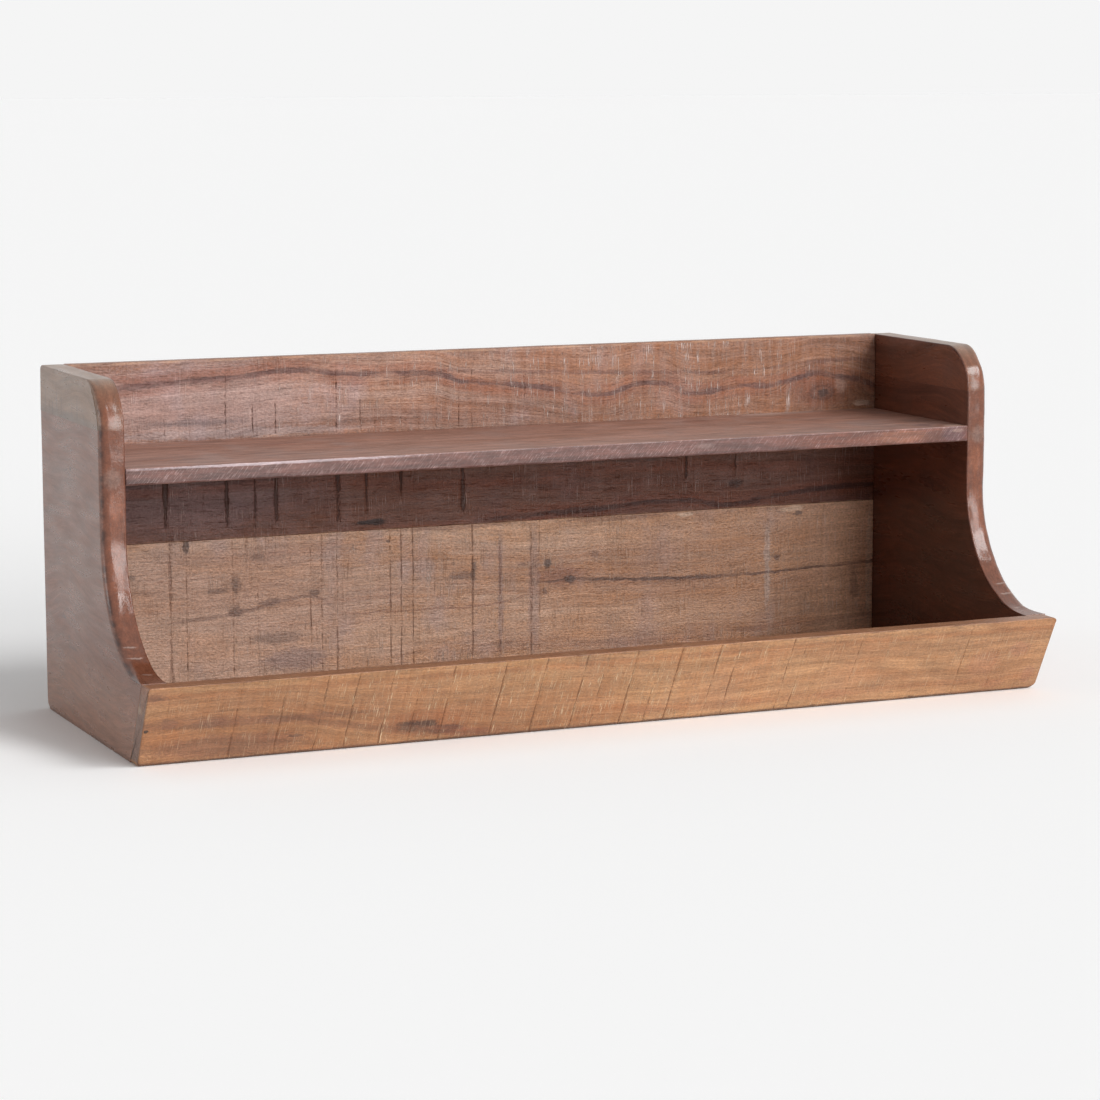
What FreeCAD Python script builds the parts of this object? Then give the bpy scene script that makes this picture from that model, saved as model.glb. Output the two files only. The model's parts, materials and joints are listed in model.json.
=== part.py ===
import FreeCAD, Part
import math
import os
import re

import Sketcher

# Two-tier wall shelf in solid wood. Two swooped end panels carry a shallow upper shelf and a deep lower
# tray, a leaning rail closes the front of the tray, two edge-glued boards close the back, and a pair of
# keyhole plates hangs it on a wall. Millimetres: +X along the length, +Y into the wall, +Z up, origin
# on the ground under the middle of the whole box.

SIZES = {
    # Whole shelf. The depth runs from the wood's rear plane to the rail's upper front arris.
    "overall_length": 800,
    "overall_height": 288,
    "overall_depth": 298,
    # End panels: a main board with a narrow strip glued along its top, their outer arrises rounded.
    "end_thickness": 20,
    "end_front_depth": 178,
    "end_strip_height": 38,
    "top_front_radius": 38,
    "rear_top_radius": 5,
    "rear_bottom_radius": 8,
    "end_arris_radius": 7,
    # Back: two boards between the end panels.
    "back_thickness": 12,
    "back_joint_height": 135,
    # Upper shelf, by the height of its top face.
    "shelf_height": 220,
    "shelf_thickness": 14,
    "shelf_arris_radius": 2.5,
    # Floor of the lower tray.
    "bottom_thickness": 14,
    # Front rail, leaning out by an angle in degrees, with the corners of its ends rounded.
    "rail_height": 67,
    "rail_thickness": 18,
    "rail_lean": 28,
    "rail_arris_radius": 1.2,
    "rail_end_radius": 5,
    # Nails: flat wire with a T head and a chisel point, punched below the surface.
    "nail_width": 1.6,
    "nail_thickness": 1.4,
    "nail_length": 40,
    "nail_tip_length": 2.5,
    "nail_head_width": 2.8,
    "nail_head_height": 1.2,
    "nail_set_depth": 1,
    "shelf_nail_front_inset": 23,
    "shelf_nail_rear_inset": 13,
    "bottom_nail_inset": 35,
    "back_nail_bottom_inset": 30,
    "back_nail_top_inset": 63,
    "rear_nail_inset": 80,
    "rail_nail_height": 30,
    # Keyhole plates on the rear, with a pocket in the wood for the wall screw's head.
    "plate_length": 52,
    "plate_height": 16,
    "plate_thickness": 2.5,
    "plate_corner_radius": 3,
    "plate_side_inset": 2,
    "plate_top_inset": 18,
    "keyhole_entry_radius": 3.8,
    "keyhole_entry_drop": 2.6,
    "keyhole_slot_width": 4,
    "keyhole_slot_rise": 3,
    "pocket_margin": 1,
    "pocket_depth": 7,
    # Countersunk screws of the plates.
    "screw_length": 11,
    "screw_radius": 1.6,
    "screw_tip_length": 3,
    "screw_head_radius": 3.4,
    "screw_end_inset": 8,
    # Play all round every nail and screw in its hole.
    "fastener_clearance": 0.05,
}

SHELF_NAILS = 3
BOTTOM_NAILS = 3
BACK_NAILS = 4
REAR_NAILS = 5
RAIL_NAILS = 2
PLATE_SCREWS = 2

# Each side's direction along X.
SIDES = {"left": -1, "right": 1}

# Lengths that follow from the sizes.
INNER_LENGTH = "(overall_length - 2 * end_thickness)"
RAIL_REACH = "(overall_depth - rail_arris_radius * (tan(rail_lean) + 1 / cos(rail_lean) - 1))"
REAR_PLANE = f"({RAIL_REACH} - plate_thickness) / 2"
RAIL_TIP = "(overall_depth - rail_thickness / cos(rail_lean))"
RAIL_FOOT = f"({RAIL_TIP} - rail_height * tan(rail_lean))"
END_JOINT = "(overall_height - end_strip_height)"
SHELF_MIDDLE = "(shelf_height - shelf_thickness / 2)"
PLATE_MIDDLE = "(overall_height - plate_top_inset - plate_height / 2)"

# How far a cutting tool stands out of the surface that it enters.
OVERCUT = 2
# Slack for telling edges apart by their place.
NEAR = 0.01
# The play of a fixing itself, as against that of its hole.
NO_PLAY = "0"

# How a sketch numbers the points of its lines and arcs, and its own origin point.
START, END, CENTRE = range(1, 4)
ORIGIN = (-START, START)

X_WAY = FreeCAD.Vector(1, 0, 0)
Y_WAY = FreeCAD.Vector(0, 1, 0)
Z_WAY = FreeCAD.Vector(0, 0, 1)
# The turn that points a fixing forwards, away from the wall.
FORWARDS = (X_WAY, "90")

doc = FreeCAD.newDocument("TwoTierWallShelf")
sheet = doc.addObject("Spreadsheet::Sheet", "Sizes")
for row, (alias, value) in enumerate(SIZES.items(), start=1):
    sheet.set(f"A{row}", alias)
    sheet.set(f"B{row}", str(value))
    sheet.setAlias(f"B{row}", alias)
doc.recompute()

SIZE_NAME = re.compile(r"\b(" + "|".join(SIZES) + r")\b")


def bind(item, path, formula):
    """Tie a property to a formula of sizes, whose names become references to the sheet's cells."""
    item.setExpression(path, SIZE_NAME.sub(r"Sizes.\1", formula))


def place(item, spot, axis=Z_WAY, angle="0"):
    """Tie an object's spot, and its turn about an axis, to formulas of sizes."""
    item.Placement = FreeCAD.Placement(FreeCAD.Vector(), FreeCAD.Rotation(axis, 1))
    for name, formula in zip("xyz", spot):
        bind(item, f"Placement.Base.{name}", formula)
    bind(item, "Placement.Rotation.Angle", angle)


def new_body(label):
    """Start an empty piece."""
    body = doc.addObject("PartDesign::Body", label)
    body.Label = label
    return body


def origin_feature(body, role):
    """Find one of a piece's own origin planes or axes."""
    return next(item for item in body.Origin.OriginFeatures if item.Role == role)


def new_sketch(body, purpose, role):
    """Start a sketch on one of the piece's own origin planes."""
    sketch = body.newObject("Sketcher::SketchObject", f"{body.Label}_{purpose}")
    sketch.AttachmentSupport = [(origin_feature(body, role), "")]
    sketch.MapMode = "FlatFace"
    return sketch


def tie_point(sketch, name, line, end, across=None, up=None):
    """Tie a point's distances from the sketch's origin to formulas of sizes."""
    point = sketch.getPoint(line, end)
    rules = (("DistanceX", "across", point.x, across), ("DistanceY", "up", point.y, up))
    for kind, way, measured, formula in rules:
        if formula is not None:
            rule = sketch.addConstraint(Sketcher.Constraint(kind, *ORIGIN, line, end, measured))
            sketch.renameConstraint(rule, f"{name}_{way}")
            bind(sketch, f"Constraints.{name}_{way}", formula)


def tie_radius(sketch, name, arc, formula):
    """Tie an arc's radius to a formula of sizes."""
    rule = sketch.addConstraint(Sketcher.Constraint("Radius", arc, sketch.Geometry[arc].Radius))
    sketch.renameConstraint(rule, name)
    bind(sketch, f"Constraints.{name}", formula)


def arc_of(centre, radius, first, last):
    """An arc between two angles in degrees, counted anticlockwise."""
    circle = Part.Circle(FreeCAD.Vector(*centre, 0), Z_WAY, radius)
    return Part.ArcOfCircle(circle, math.radians(first), math.radians(last))


def line_of(first, last):
    """A straight line between two points of a sketch."""
    return Part.LineSegment(FreeCAD.Vector(*first, 0), FreeCAD.Vector(*last, 0))


def polygon(sketch, corners):
    """Draw a closed run of lines, roughly at first, whose corners are tied to (across, up) formulas."""
    count = len(corners)
    turns = [2 * math.pi * corner / count for corner in range(count)]
    rough = [(math.cos(turn), math.sin(turn)) for turn in turns]
    for line in range(count):
        sketch.addGeometry(line_of(rough[line], rough[(line + 1) % count]))
    for line in range(count):
        sketch.addConstraint(Sketcher.Constraint("Coincident", line, END, (line + 1) % count, START))
    for line, (across, up) in enumerate(corners):
        tie_point(sketch, f"corner_{line}", line, START, across, up)


def upright_slot(sketch, low, high, radius):
    """Draw an upright slot on the sketch's middle line between two end centres."""
    sketch.addGeometry(arc_of((0, 1), 1, 0, 180))
    sketch.addGeometry(line_of((-1, 1), (-1, -1)))
    sketch.addGeometry(arc_of((0, -1), 1, 180, 360))
    sketch.addGeometry(line_of((1, -1), (1, 1)))
    for line, arc in ((0, 1), (1, 2), (2, 3), (3, 0)):
        sketch.addConstraint(Sketcher.Constraint("Tangent", line, END, arc, START))
    sketch.addConstraint(Sketcher.Constraint("Equal", 0, 2))
    tie_radius(sketch, "end_radius", 0, radius)
    tie_point(sketch, "high_end", 0, CENTRE, "0", high)
    tie_point(sketch, "low_end", 2, CENTRE, "0", low)


def pad(body, sketch, length, backwards=False, both_ways=False):
    """Give a sketch thickness, to one side of its plane or half to each."""
    feature = body.newObject("PartDesign::Pad", f"{sketch.Label}_pad")
    feature.Profile = sketch
    feature.Reversed = backwards
    feature.SideType = "Symmetric" if both_ways else "One side"
    bind(feature, "Length", length)
    doc.recompute()
    return feature


def pocket_through(body, sketch, backwards=False):
    """Cut a sketch right through the piece, and make sure that it took something away."""
    before = body.Shape.Volume
    feature = body.newObject("PartDesign::Pocket", f"{sketch.Label}_cut")
    feature.Profile = sketch
    feature.Type = "ThroughAll"
    feature.Reversed = backwards
    doc.recompute()
    if body.Shape.Volume > before - NEAR:
        raise RuntimeError(f"{feature.Label} cuts nothing")


def round_over(body, purpose, radius, chosen):
    """Round the edges of the piece so far that a test on their box picks out."""
    base = body.Tip
    edges = enumerate(base.Shape.Edges, start=1)
    names = [f"Edge{number}" for number, edge in edges if chosen(edge.BoundBox)]
    feature = body.newObject("PartDesign::Fillet", f"{body.Label}_{purpose}")
    feature.Base = (base, names)
    bind(feature, "Radius", radius)
    doc.recompute()


def runs_along(box):
    """True for an edge along the shelf's length."""
    return box.YLength < NEAR and box.ZLength < NEAR


def drilled(label, blank, tools):
    """Cut the holes for its fixings into a blank, which makes the finished piece."""
    holes = doc.addObject("Part::Compound", f"{label}_holes")
    holes.Links = tools
    piece = doc.addObject("Part::Cut", label)
    piece.Label = label
    piece.Base = blank
    piece.Tool = holes
    return piece


def end_outline(sketch):
    """Draw an end panel from the side, depth across and height up.

    The outline goes up the rear, along the top, round the front corner, straight down past the upper
    shelf, and out in a quarter-round swoop that runs level into the rail's top. The lean of the rail's
    rear face then cuts it back to the ground.
    """
    lean = math.radians(SIZES["rail_lean"])
    top = SIZES["overall_height"]
    front = SIZES["end_front_depth"]
    corner = SIZES["top_front_radius"]
    rail_top = SIZES["rail_height"]
    tip = SIZES["overall_depth"] - SIZES["rail_thickness"] / math.cos(lean)
    foot = tip - rail_top * math.tan(lean)
    swoop = tip - front

    rear_line, top_line, corner_arc, front_line, swoop_arc, lean_line, ground_line = range(7)
    sketch.addGeometry(line_of((0, 0), (0, top)))
    sketch.addGeometry(line_of((0, top), (front - corner, top)))
    sketch.addGeometry(arc_of((front - corner, top - corner), corner, 0, 90))
    sketch.addGeometry(line_of((front, top - corner), (front, rail_top + swoop)))
    sketch.addGeometry(arc_of((tip, rail_top + swoop), swoop, 180, 270))
    sketch.addGeometry(line_of((tip, rail_top), (foot, 0)))
    sketch.addGeometry(line_of((foot, 0), (0, 0)))

    for line, end, following, start in (
        (rear_line, END, top_line, START),
        (swoop_arc, END, lean_line, START),
        (lean_line, END, ground_line, START),
        (ground_line, END, rear_line, START),
    ):
        sketch.addConstraint(Sketcher.Constraint("Coincident", line, end, following, start))
    for line, end, following, start in (
        (top_line, END, corner_arc, END),
        (corner_arc, START, front_line, START),
        (front_line, END, swoop_arc, START),
    ):
        sketch.addConstraint(Sketcher.Constraint("Tangent", line, end, following, start))
    for line in (rear_line, front_line):
        sketch.addConstraint(Sketcher.Constraint("Vertical", line))
    for line in (top_line, ground_line):
        sketch.addConstraint(Sketcher.Constraint("Horizontal", line))
    sketch.addConstraint(Sketcher.Constraint("Coincident", rear_line, START, *ORIGIN))
    sketch.addConstraint(Sketcher.Constraint("Vertical", swoop_arc, CENTRE, swoop_arc, END))

    tie_radius(sketch, "top_front_corner", corner_arc, "top_front_radius")
    tie_point(sketch, "top", rear_line, END, up="overall_height")
    tie_point(sketch, "front", front_line, START, across="end_front_depth")
    tie_point(sketch, "rail_tip", swoop_arc, END, RAIL_TIP, "rail_height")
    tie_point(sketch, "rail_foot", lean_line, END, across=RAIL_FOOT)


def round_rear_corner(body, purpose, radius, height, way):
    """Saw a round into an end panel's rear corner at a height, where way is 1 upwards and -1 downwards.

    The cut leaves the long edges that meet there square, so that the back stays tight against them.
    """
    waste = new_sketch(body, purpose, "YZ_Plane")
    arc, level_line, rear_line, outer_line, upright_line = range(5)
    waste.addGeometry(arc_of((1, -way), 1, 90, 180) if way > 0 else arc_of((1, -way), 1, 180, 270))
    crown, side = (START, END) if way > 0 else (END, START)
    waste.addGeometry(line_of((0, -way), (-1, -way)))
    waste.addGeometry(line_of((-1, -way), (-1, way)))
    waste.addGeometry(line_of((-1, way), (1, way)))
    waste.addGeometry(line_of((1, way), (1, 0)))
    for line, end, following, start in (
        (arc, side, level_line, START),
        (level_line, END, rear_line, START),
        (rear_line, END, outer_line, START),
        (outer_line, END, upright_line, START),
        (upright_line, END, arc, crown),
    ):
        waste.addConstraint(Sketcher.Constraint("Coincident", line, end, following, start))
    for line in (level_line, outer_line):
        waste.addConstraint(Sketcher.Constraint("Horizontal", line))
    for line in (rear_line, upright_line):
        waste.addConstraint(Sketcher.Constraint("Vertical", line))
    waste.addConstraint(Sketcher.Constraint("Horizontal", arc, CENTRE, arc, side))
    waste.addConstraint(Sketcher.Constraint("Vertical", arc, CENTRE, arc, crown))
    tie_radius(waste, "round", arc, radius)
    tie_point(waste, "centre", arc, CENTRE, radius, f"{height} - {way} * {radius}")
    tie_point(waste, "clear", rear_line, END, f"-{OVERCUT}", f"{height} + {way * OVERCUT}")
    pocket_through(body, waste, backwards=True)


def end_blank(label, side, waste_low, waste_high):
    """Shape one board of an end panel: the whole panel less the waste between two heights.

    It is drawn inside out, then turned half round, so the left panel's outer face is the far one here.
    """
    body = new_body(f"{label}_blank")
    outline = new_sketch(body, "outline", "YZ_Plane")
    end_outline(outline)
    pad(body, outline, "end_thickness")
    outer_face = SIZES["end_thickness"] if side == "left" else 0
    rail_top = SIZES["rail_height"]
    round_over(
        body, "arris", "end_arris_radius",
        lambda box: max(abs(box.XMin - outer_face), abs(box.XMax - outer_face)) < NEAR
        and box.YMax > NEAR and box.ZMax > rail_top + NEAR,
    )
    round_rear_corner(body, "rear_top", "rear_top_radius", "overall_height", 1)
    round_rear_corner(body, "rear_bottom", "rear_bottom_radius", "0", -1)
    waste = new_sketch(body, "waste", "YZ_Plane")
    polygon(waste, [
        (f"-{OVERCUT}", waste_low), ("overall_depth", waste_low),
        ("overall_depth", waste_high), (f"-{OVERCUT}", waste_high),
    ])
    pocket_through(body, waste, backwards=True)
    right_face = f"({SIDES[side]} * (overall_length - end_thickness) + end_thickness) / 2"
    place(body, (right_face, REAR_PLANE, "0"), angle="180")
    return body


def long_board(label, length, corners):
    """Shape a board that runs along the shelf from its section, depth across and height up."""
    body = new_body(f"{label}_blank")
    section = new_sketch(body, "section", "YZ_Plane")
    polygon(section, corners)
    pad(body, section, length)
    place(body, (f"{length} / 2", REAR_PLANE, "0"), angle="180")
    return body


def nail(body, play):
    """Draw a nail across its T head, depth below the surface up, and give it the wire's thickness.

    With no play it is the nail itself, and with some it is the hole, open to the surface above the head.
    """
    half_head = f"(nail_head_width / 2 + {play})"
    half_wire = f"(nail_width / 2 + {play})"
    head_top = "nail_set_depth" if play == NO_PLAY else f"-{OVERCUT}"
    head_foot = "nail_set_depth + nail_head_height"
    wire_foot = "nail_length - nail_tip_length"
    section = new_sketch(body, "section", "XZ_Plane")
    polygon(section, [
        (f"-{half_head}", head_top), (half_head, head_top), (half_head, head_foot),
        (half_wire, head_foot), (half_wire, wire_foot), ("0", f"nail_length + {play}"),
        (f"-{half_wire}", wire_foot), (f"-{half_wire}", head_foot), (f"-{half_head}", head_foot),
    ])
    return pad(body, section, f"nail_thickness + 2 * {play}", both_ways=True)


def screw(body, play):
    """Draw half a countersunk screw, radius across and depth below the plate's face up, and turn it.

    With no play it is the pointed screw itself, and with some it is the countersunk, blunt-ended hole.
    """
    head_rim = f"screw_head_radius + {play}"
    shaft = f"screw_radius + {play}"
    foot = f"screw_length + {play}"
    if play == NO_PLAY:
        head = [("0", "0"), (head_rim, "0")]
        end = [(shaft, f"{foot} - screw_tip_length"), ("0", foot)]
    else:
        head = [("0", f"-{OVERCUT}"), (head_rim, f"-{OVERCUT}"), (head_rim, "0")]
        end = [(shaft, foot), ("0", foot)]
    section = new_sketch(body, "section", "XZ_Plane")
    polygon(section, head + [(shaft, "screw_head_radius - screw_radius")] + end)
    feature = body.newObject("PartDesign::Revolution", f"{body.Label}_turned")
    feature.Profile = section
    feature.ReferenceAxis = (section, ["V_Axis"])
    doc.recompute()
    return feature


def fixing_row(label, fixing, play, count, span, way, spot, axis, angle, backwards):
    """Shape a fixing and repeat it from its first spot over a span."""
    body = new_body(label)
    body.AllowCompound = True
    first = fixing(body, play)
    row = body.newObject("PartDesign::LinearPattern", f"{label}_row")
    row.Originals = [first]
    row.Direction = (origin_feature(body, way), [""])
    row.Reversed = backwards
    row.Occurrences = count
    bind(row, "Length", span)
    body.Tip = row
    place(body, spot, axis, angle)
    return body


def fixings(label, fixing, *layout, backwards=False):
    """Make a row of fixings and the matching row of holes, and give back both."""
    row = fixing_row(label, fixing, NO_PLAY, *layout, backwards)
    return row, fixing_row(f"{label}_hole", fixing, "fastener_clearance", *layout, backwards)


def hanger_plate(label, spot):
    """Shape a rounded steel plate with an upright keyhole, to lie against the rear of the wood."""
    body = new_body(f"{label}_blank")
    outline = new_sketch(body, "outline", "XZ_Plane")
    polygon(outline, [
        ("-plate_length / 2", "-plate_height / 2"), ("plate_length / 2", "-plate_height / 2"),
        ("plate_length / 2", "plate_height / 2"), ("-plate_length / 2", "plate_height / 2"),
    ])
    pad(body, outline, "plate_thickness", backwards=True)
    round_over(body, "corners", "plate_corner_radius", lambda box: box.XLength < NEAR and box.ZLength < NEAR)
    entry = new_sketch(body, "keyhole_entry", "XZ_Plane")
    entry.addGeometry(Part.Circle(FreeCAD.Vector(), Z_WAY, 1))
    tie_radius(entry, "entry_radius", 0, "keyhole_entry_radius")
    tie_point(entry, "entry", 0, CENTRE, "0", "-keyhole_entry_drop")
    pocket_through(body, entry)
    slot = new_sketch(body, "keyhole_slot", "XZ_Plane")
    upright_slot(slot, "-keyhole_entry_drop", "keyhole_slot_rise", "keyhole_slot_width / 2")
    pocket_through(body, slot)
    place(body, spot)
    return body


def head_pocket(label, spot):
    """Shape the tool that hollows the wood behind a keyhole for the wall screw's head."""
    body = new_body(label)
    outline = new_sketch(body, "outline", "XZ_Plane")
    upright_slot(outline, "-keyhole_entry_drop", "keyhole_slot_rise", "keyhole_entry_radius + pocket_margin")
    pad(body, outline, "pocket_depth")
    place(body, spot)
    return body


finished = {}
holes = {}

# Fixings of each side: nails driven inwards through the end panel, then the keyhole plate's screws.
plates = {}
pockets = {}
screws = {}
for side, sign in SIDES.items():
    inwards = (Y_WAY, f"{-90 * sign}")
    outer_face = f"{sign} * overall_length / 2"
    finished[f"{side}_shelf_nails"], holes[f"{side}_shelf"] = fixings(
        f"{side}_shelf_nails", nail, SHELF_NAILS,
        "end_front_depth - back_thickness - shelf_nail_front_inset - shelf_nail_rear_inset", "Y_Axis",
        (outer_face, f"{REAR_PLANE} - end_front_depth + shelf_nail_front_inset", SHELF_MIDDLE), *inwards,
    )
    finished[f"{side}_bottom_nails"], holes[f"{side}_bottom"] = fixings(
        f"{side}_bottom_nails", nail, BOTTOM_NAILS,
        f"{RAIL_FOOT} - back_thickness - 2 * bottom_nail_inset", "Y_Axis",
        (outer_face, f"{REAR_PLANE} - {RAIL_FOOT} + bottom_nail_inset", "bottom_thickness / 2"), *inwards,
    )
    finished[f"{side}_back_nails"], holes[f"{side}_back"] = fixings(
        f"{side}_back_nails", nail, BACK_NAILS,
        "overall_height - back_nail_bottom_inset - back_nail_top_inset", "X_Axis",
        (outer_face, f"{REAR_PLANE} - back_thickness / 2", "back_nail_bottom_inset"), *inwards,
        backwards=sign < 0,
    )
    plate_centre = f"{sign} * (overall_length / 2 - plate_side_inset - plate_length / 2)"
    plates[side] = hanger_plate(f"{side}_hanger_plate", (plate_centre, REAR_PLANE, PLATE_MIDDLE))
    pockets[side] = head_pocket(f"{side}_head_pocket", (plate_centre, REAR_PLANE, PLATE_MIDDLE))
    first_screw = f"{plate_centre} - plate_length / 2 + screw_end_inset"
    screws[side], holes[f"{side}_hanger"] = fixings(
        f"{side}_hanger_screws", screw, PLATE_SCREWS, "plate_length - 2 * screw_end_inset", "X_Axis",
        (first_screw, f"{REAR_PLANE} + plate_thickness", PLATE_MIDDLE), *FORWARDS,
    )

# Nails driven forwards through the back into the rear edges of the shelf and the bottom board.
for board, height in (("shelf", SHELF_MIDDLE), ("bottom", "bottom_thickness / 2")):
    finished[f"{board}_back_nails"], holes[f"{board}_back"] = fixings(
        f"{board}_back_nails", nail, REAR_NAILS, f"{INNER_LENGTH} - 2 * rear_nail_inset", "X_Axis",
        (f"rear_nail_inset - {INNER_LENGTH} / 2", REAR_PLANE, height), *FORWARDS,
    )

# Nails driven square to the rail's leaning face into the front edge of each end panel.
rail_face = f"{REAR_PLANE} - overall_depth + (rail_height - rail_nail_height) * tan(rail_lean)"
finished["rail_nails"], holes["rail"] = fixings(
    "rail_nails", nail, RAIL_NAILS, "overall_length - end_thickness", "X_Axis",
    ("(end_thickness - overall_length) / 2", rail_face, "rail_nail_height"), X_WAY, "rail_lean - 90",
)

# End panels, each a main board and its top strip.
for side in SIDES:
    end_holes = [holes[f"{side}_{row}"] for row in ("shelf", "bottom", "back", "hanger")]
    end_holes += [holes["rail"], pockets[side]]
    for piece, waste_low, waste_high in (
        (f"{side}_end_board", END_JOINT, f"overall_height + {OVERCUT}"),
        (f"{side}_end_top_strip", f"-{OVERCUT}", END_JOINT),
    ):
        finished[piece] = drilled(piece, end_blank(piece, side, waste_low, waste_high), end_holes)

# Back boards, meeting at a straight glue joint.
back_holes = [holes["left_back"], holes["right_back"], holes["shelf_back"], holes["bottom_back"]]
hanger_holes = [holes["left_hanger"], holes["right_hanger"], pockets["left"], pockets["right"]]
for board, low, high in (
    ("lower_back_board", "0", "back_joint_height"),
    ("upper_back_board", "back_joint_height", "overall_height"),
):
    blank = long_board(board, INNER_LENGTH, [
        ("0", low), ("back_thickness", low), ("back_thickness", high), ("0", high),
    ])
    finished[board] = drilled(board, blank, back_holes + hanger_holes)

# Upper shelf, its front edge eased and flush with the end panels.
shelf_foot = "shelf_height - shelf_thickness"
shelf = long_board("upper_shelf", INNER_LENGTH, [
    ("back_thickness", shelf_foot), ("end_front_depth", shelf_foot),
    ("end_front_depth", "shelf_height"), ("back_thickness", "shelf_height"),
])
shelf_front = SIZES["end_front_depth"]
round_over(
    shelf, "arris", "shelf_arris_radius",
    lambda box: runs_along(box) and box.YMin > shelf_front - NEAR,
)
finished["upper_shelf"] = drilled(
    "upper_shelf", shelf, [holes["left_shelf"], holes["right_shelf"], holes["shelf_back"]],
)

# Floor of the lower tray, bevelled in front to the rail's lean.
bottom = long_board("bottom_board", INNER_LENGTH, [
    ("back_thickness", "0"), (RAIL_FOOT, "0"),
    (f"{RAIL_FOOT} + bottom_thickness * tan(rail_lean)", "bottom_thickness"),
    ("back_thickness", "bottom_thickness"),
])
finished["bottom_board"] = drilled(
    "bottom_board", bottom, [holes["left_bottom"], holes["right_bottom"], holes["bottom_back"]],
)

# Front rail over the fronts of both end panels, cut level along its top and bottom.
rail = long_board("front_rail", "overall_length", [
    (RAIL_FOOT, "0"), ("overall_depth - rail_height * tan(rail_lean)", "0"),
    ("overall_depth", "rail_height"), (RAIL_TIP, "rail_height"),
])
round_over(
    rail, "ends", "rail_end_radius", lambda box: box.XLength < NEAR and box.ZLength < NEAR,
)
rail_slant = math.tan(math.radians(SIZES["rail_lean"]))
rail_front = SIZES["overall_depth"] - SIZES["rail_height"] * rail_slant
round_over(
    rail, "arris", "rail_arris_radius",
    lambda box: box.YMin - box.ZMin * rail_slant > rail_front - NEAR,
)
finished["front_rail"] = drilled("front_rail", rail, [holes["rail"]])

# Keyhole plates, countersunk for their screws, and the four screws as one set.
for side in SIDES:
    plate = f"{side}_hanger_plate"
    finished[plate] = drilled(plate, plates[side], [holes[f"{side}_hanger"]])
finished["hanger_screws"] = doc.addObject("Part::Compound", "hanger_screws")
finished["hanger_screws"].Links = list(screws.values())

doc.recompute()

for item in doc.Objects:
    if "Invalid" in item.State or "Error" in item.State:
        raise RuntimeError(f"{item.Label} did not build: {item.State}")
for label, piece in finished.items():
    if piece.Shape.isNull() or not piece.Shape.isValid() or not piece.Shape.Solids:
        raise RuntimeError(f"{label} has no valid solid")

os.makedirs("parts", exist_ok=True)
for label, piece in finished.items():
    piece.Shape.exportStep(f"parts/{label}.step")
    print(f"{label}: {len(piece.Shape.Solids)} solid(s), {piece.Shape.Volume:.1f} mm3")
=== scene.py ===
"""Looks of the two-tier wall shelf: sawn and hand-shaped boards, wax, wear and blackened steel.

Every board is a surface worked out in millimetres around the fixed frame, and written in metres.
Depths are measured forwards from the wood's rear plane.
"""

import json
import logging
import math
from dataclasses import dataclass, field, replace
from enum import Enum

import bpy
import numpy as np
from mathutils import Matrix, Vector


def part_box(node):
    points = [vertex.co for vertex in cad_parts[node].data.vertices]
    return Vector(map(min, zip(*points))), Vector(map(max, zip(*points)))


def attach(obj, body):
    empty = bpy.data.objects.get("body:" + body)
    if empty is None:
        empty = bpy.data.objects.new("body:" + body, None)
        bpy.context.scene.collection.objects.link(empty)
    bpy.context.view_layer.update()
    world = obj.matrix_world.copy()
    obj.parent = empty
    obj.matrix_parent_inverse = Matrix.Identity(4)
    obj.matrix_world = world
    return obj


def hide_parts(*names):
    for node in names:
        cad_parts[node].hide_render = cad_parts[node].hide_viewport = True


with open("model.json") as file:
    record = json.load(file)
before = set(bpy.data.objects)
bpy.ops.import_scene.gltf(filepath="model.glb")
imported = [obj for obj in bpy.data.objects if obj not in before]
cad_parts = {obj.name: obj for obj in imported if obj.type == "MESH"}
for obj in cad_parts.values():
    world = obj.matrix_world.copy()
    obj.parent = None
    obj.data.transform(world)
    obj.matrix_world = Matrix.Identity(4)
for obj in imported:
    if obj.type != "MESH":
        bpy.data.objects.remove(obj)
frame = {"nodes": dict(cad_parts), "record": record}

LOG = logging.getLogger("wall_shelf")
MM = 0.001
BODY = "root"
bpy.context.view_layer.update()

Colour = tuple[float, float, float, float]
Socket = bpy.types.NodeSocket
Tree = bpy.types.NodeTree
Material = bpy.types.Material
Outputs = bpy.types.bpy_prop_collection

# How many heights a random line has before it repeats, and how many waves make a planed face uneven.
HEIGHTS = 512
WAVES = 8


def tint(red: int, green: int, blue: int) -> Colour:
    """Turn a colour as a screen shows it into light values.

    Args:
        red, green, blue: The colour, each from 0 to 255.

    Returns:
        The colour in linear light, opaque.
    """
    shown = np.array([red, green, blue]) / 255
    linear = np.where(shown <= 0.04045, shown / 12.92, ((shown + 0.055) / 1.055) ** 2.4)
    return (*(float(value) for value in linear), 1.0)


class Side(Enum):
    """The two ends of the shelf, by their direction along X."""

    LEFT = -1
    RIGHT = 1


@dataclass(frozen=True)
class Span:
    """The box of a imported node, in millimetres."""

    low: np.ndarray
    high: np.ndarray

    @classmethod
    def of(cls, node: str) -> "Span":
        """Measure a node of the frame."""
        low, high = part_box(node)
        return cls(np.array(low) / MM, np.array(high) / MM)


REAR = float(Span.of("lower_back_board").high[1])


def wander(place: np.ndarray, step: float, seed: int) -> np.ndarray:
    """A smooth random line: seeded heights one step apart, joined by half cosine waves.

    Args:
        place: Where to read the line, in millimetres.
        step: The distance between heights.
        seed: Which line.

    Returns:
        Heights from -1 to 1, in the shape of place.
    """
    heights = np.random.default_rng(seed).uniform(-1, 1, HEIGHTS)
    spot = np.asarray(place, float) / step
    low = np.floor(spot).astype(int)
    share = (1 - np.cos(np.pi * (spot - low))) / 2
    return heights[low % HEIGHTS] * (1 - share) + heights[(low + 1) % HEIGHTS] * share


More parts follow.
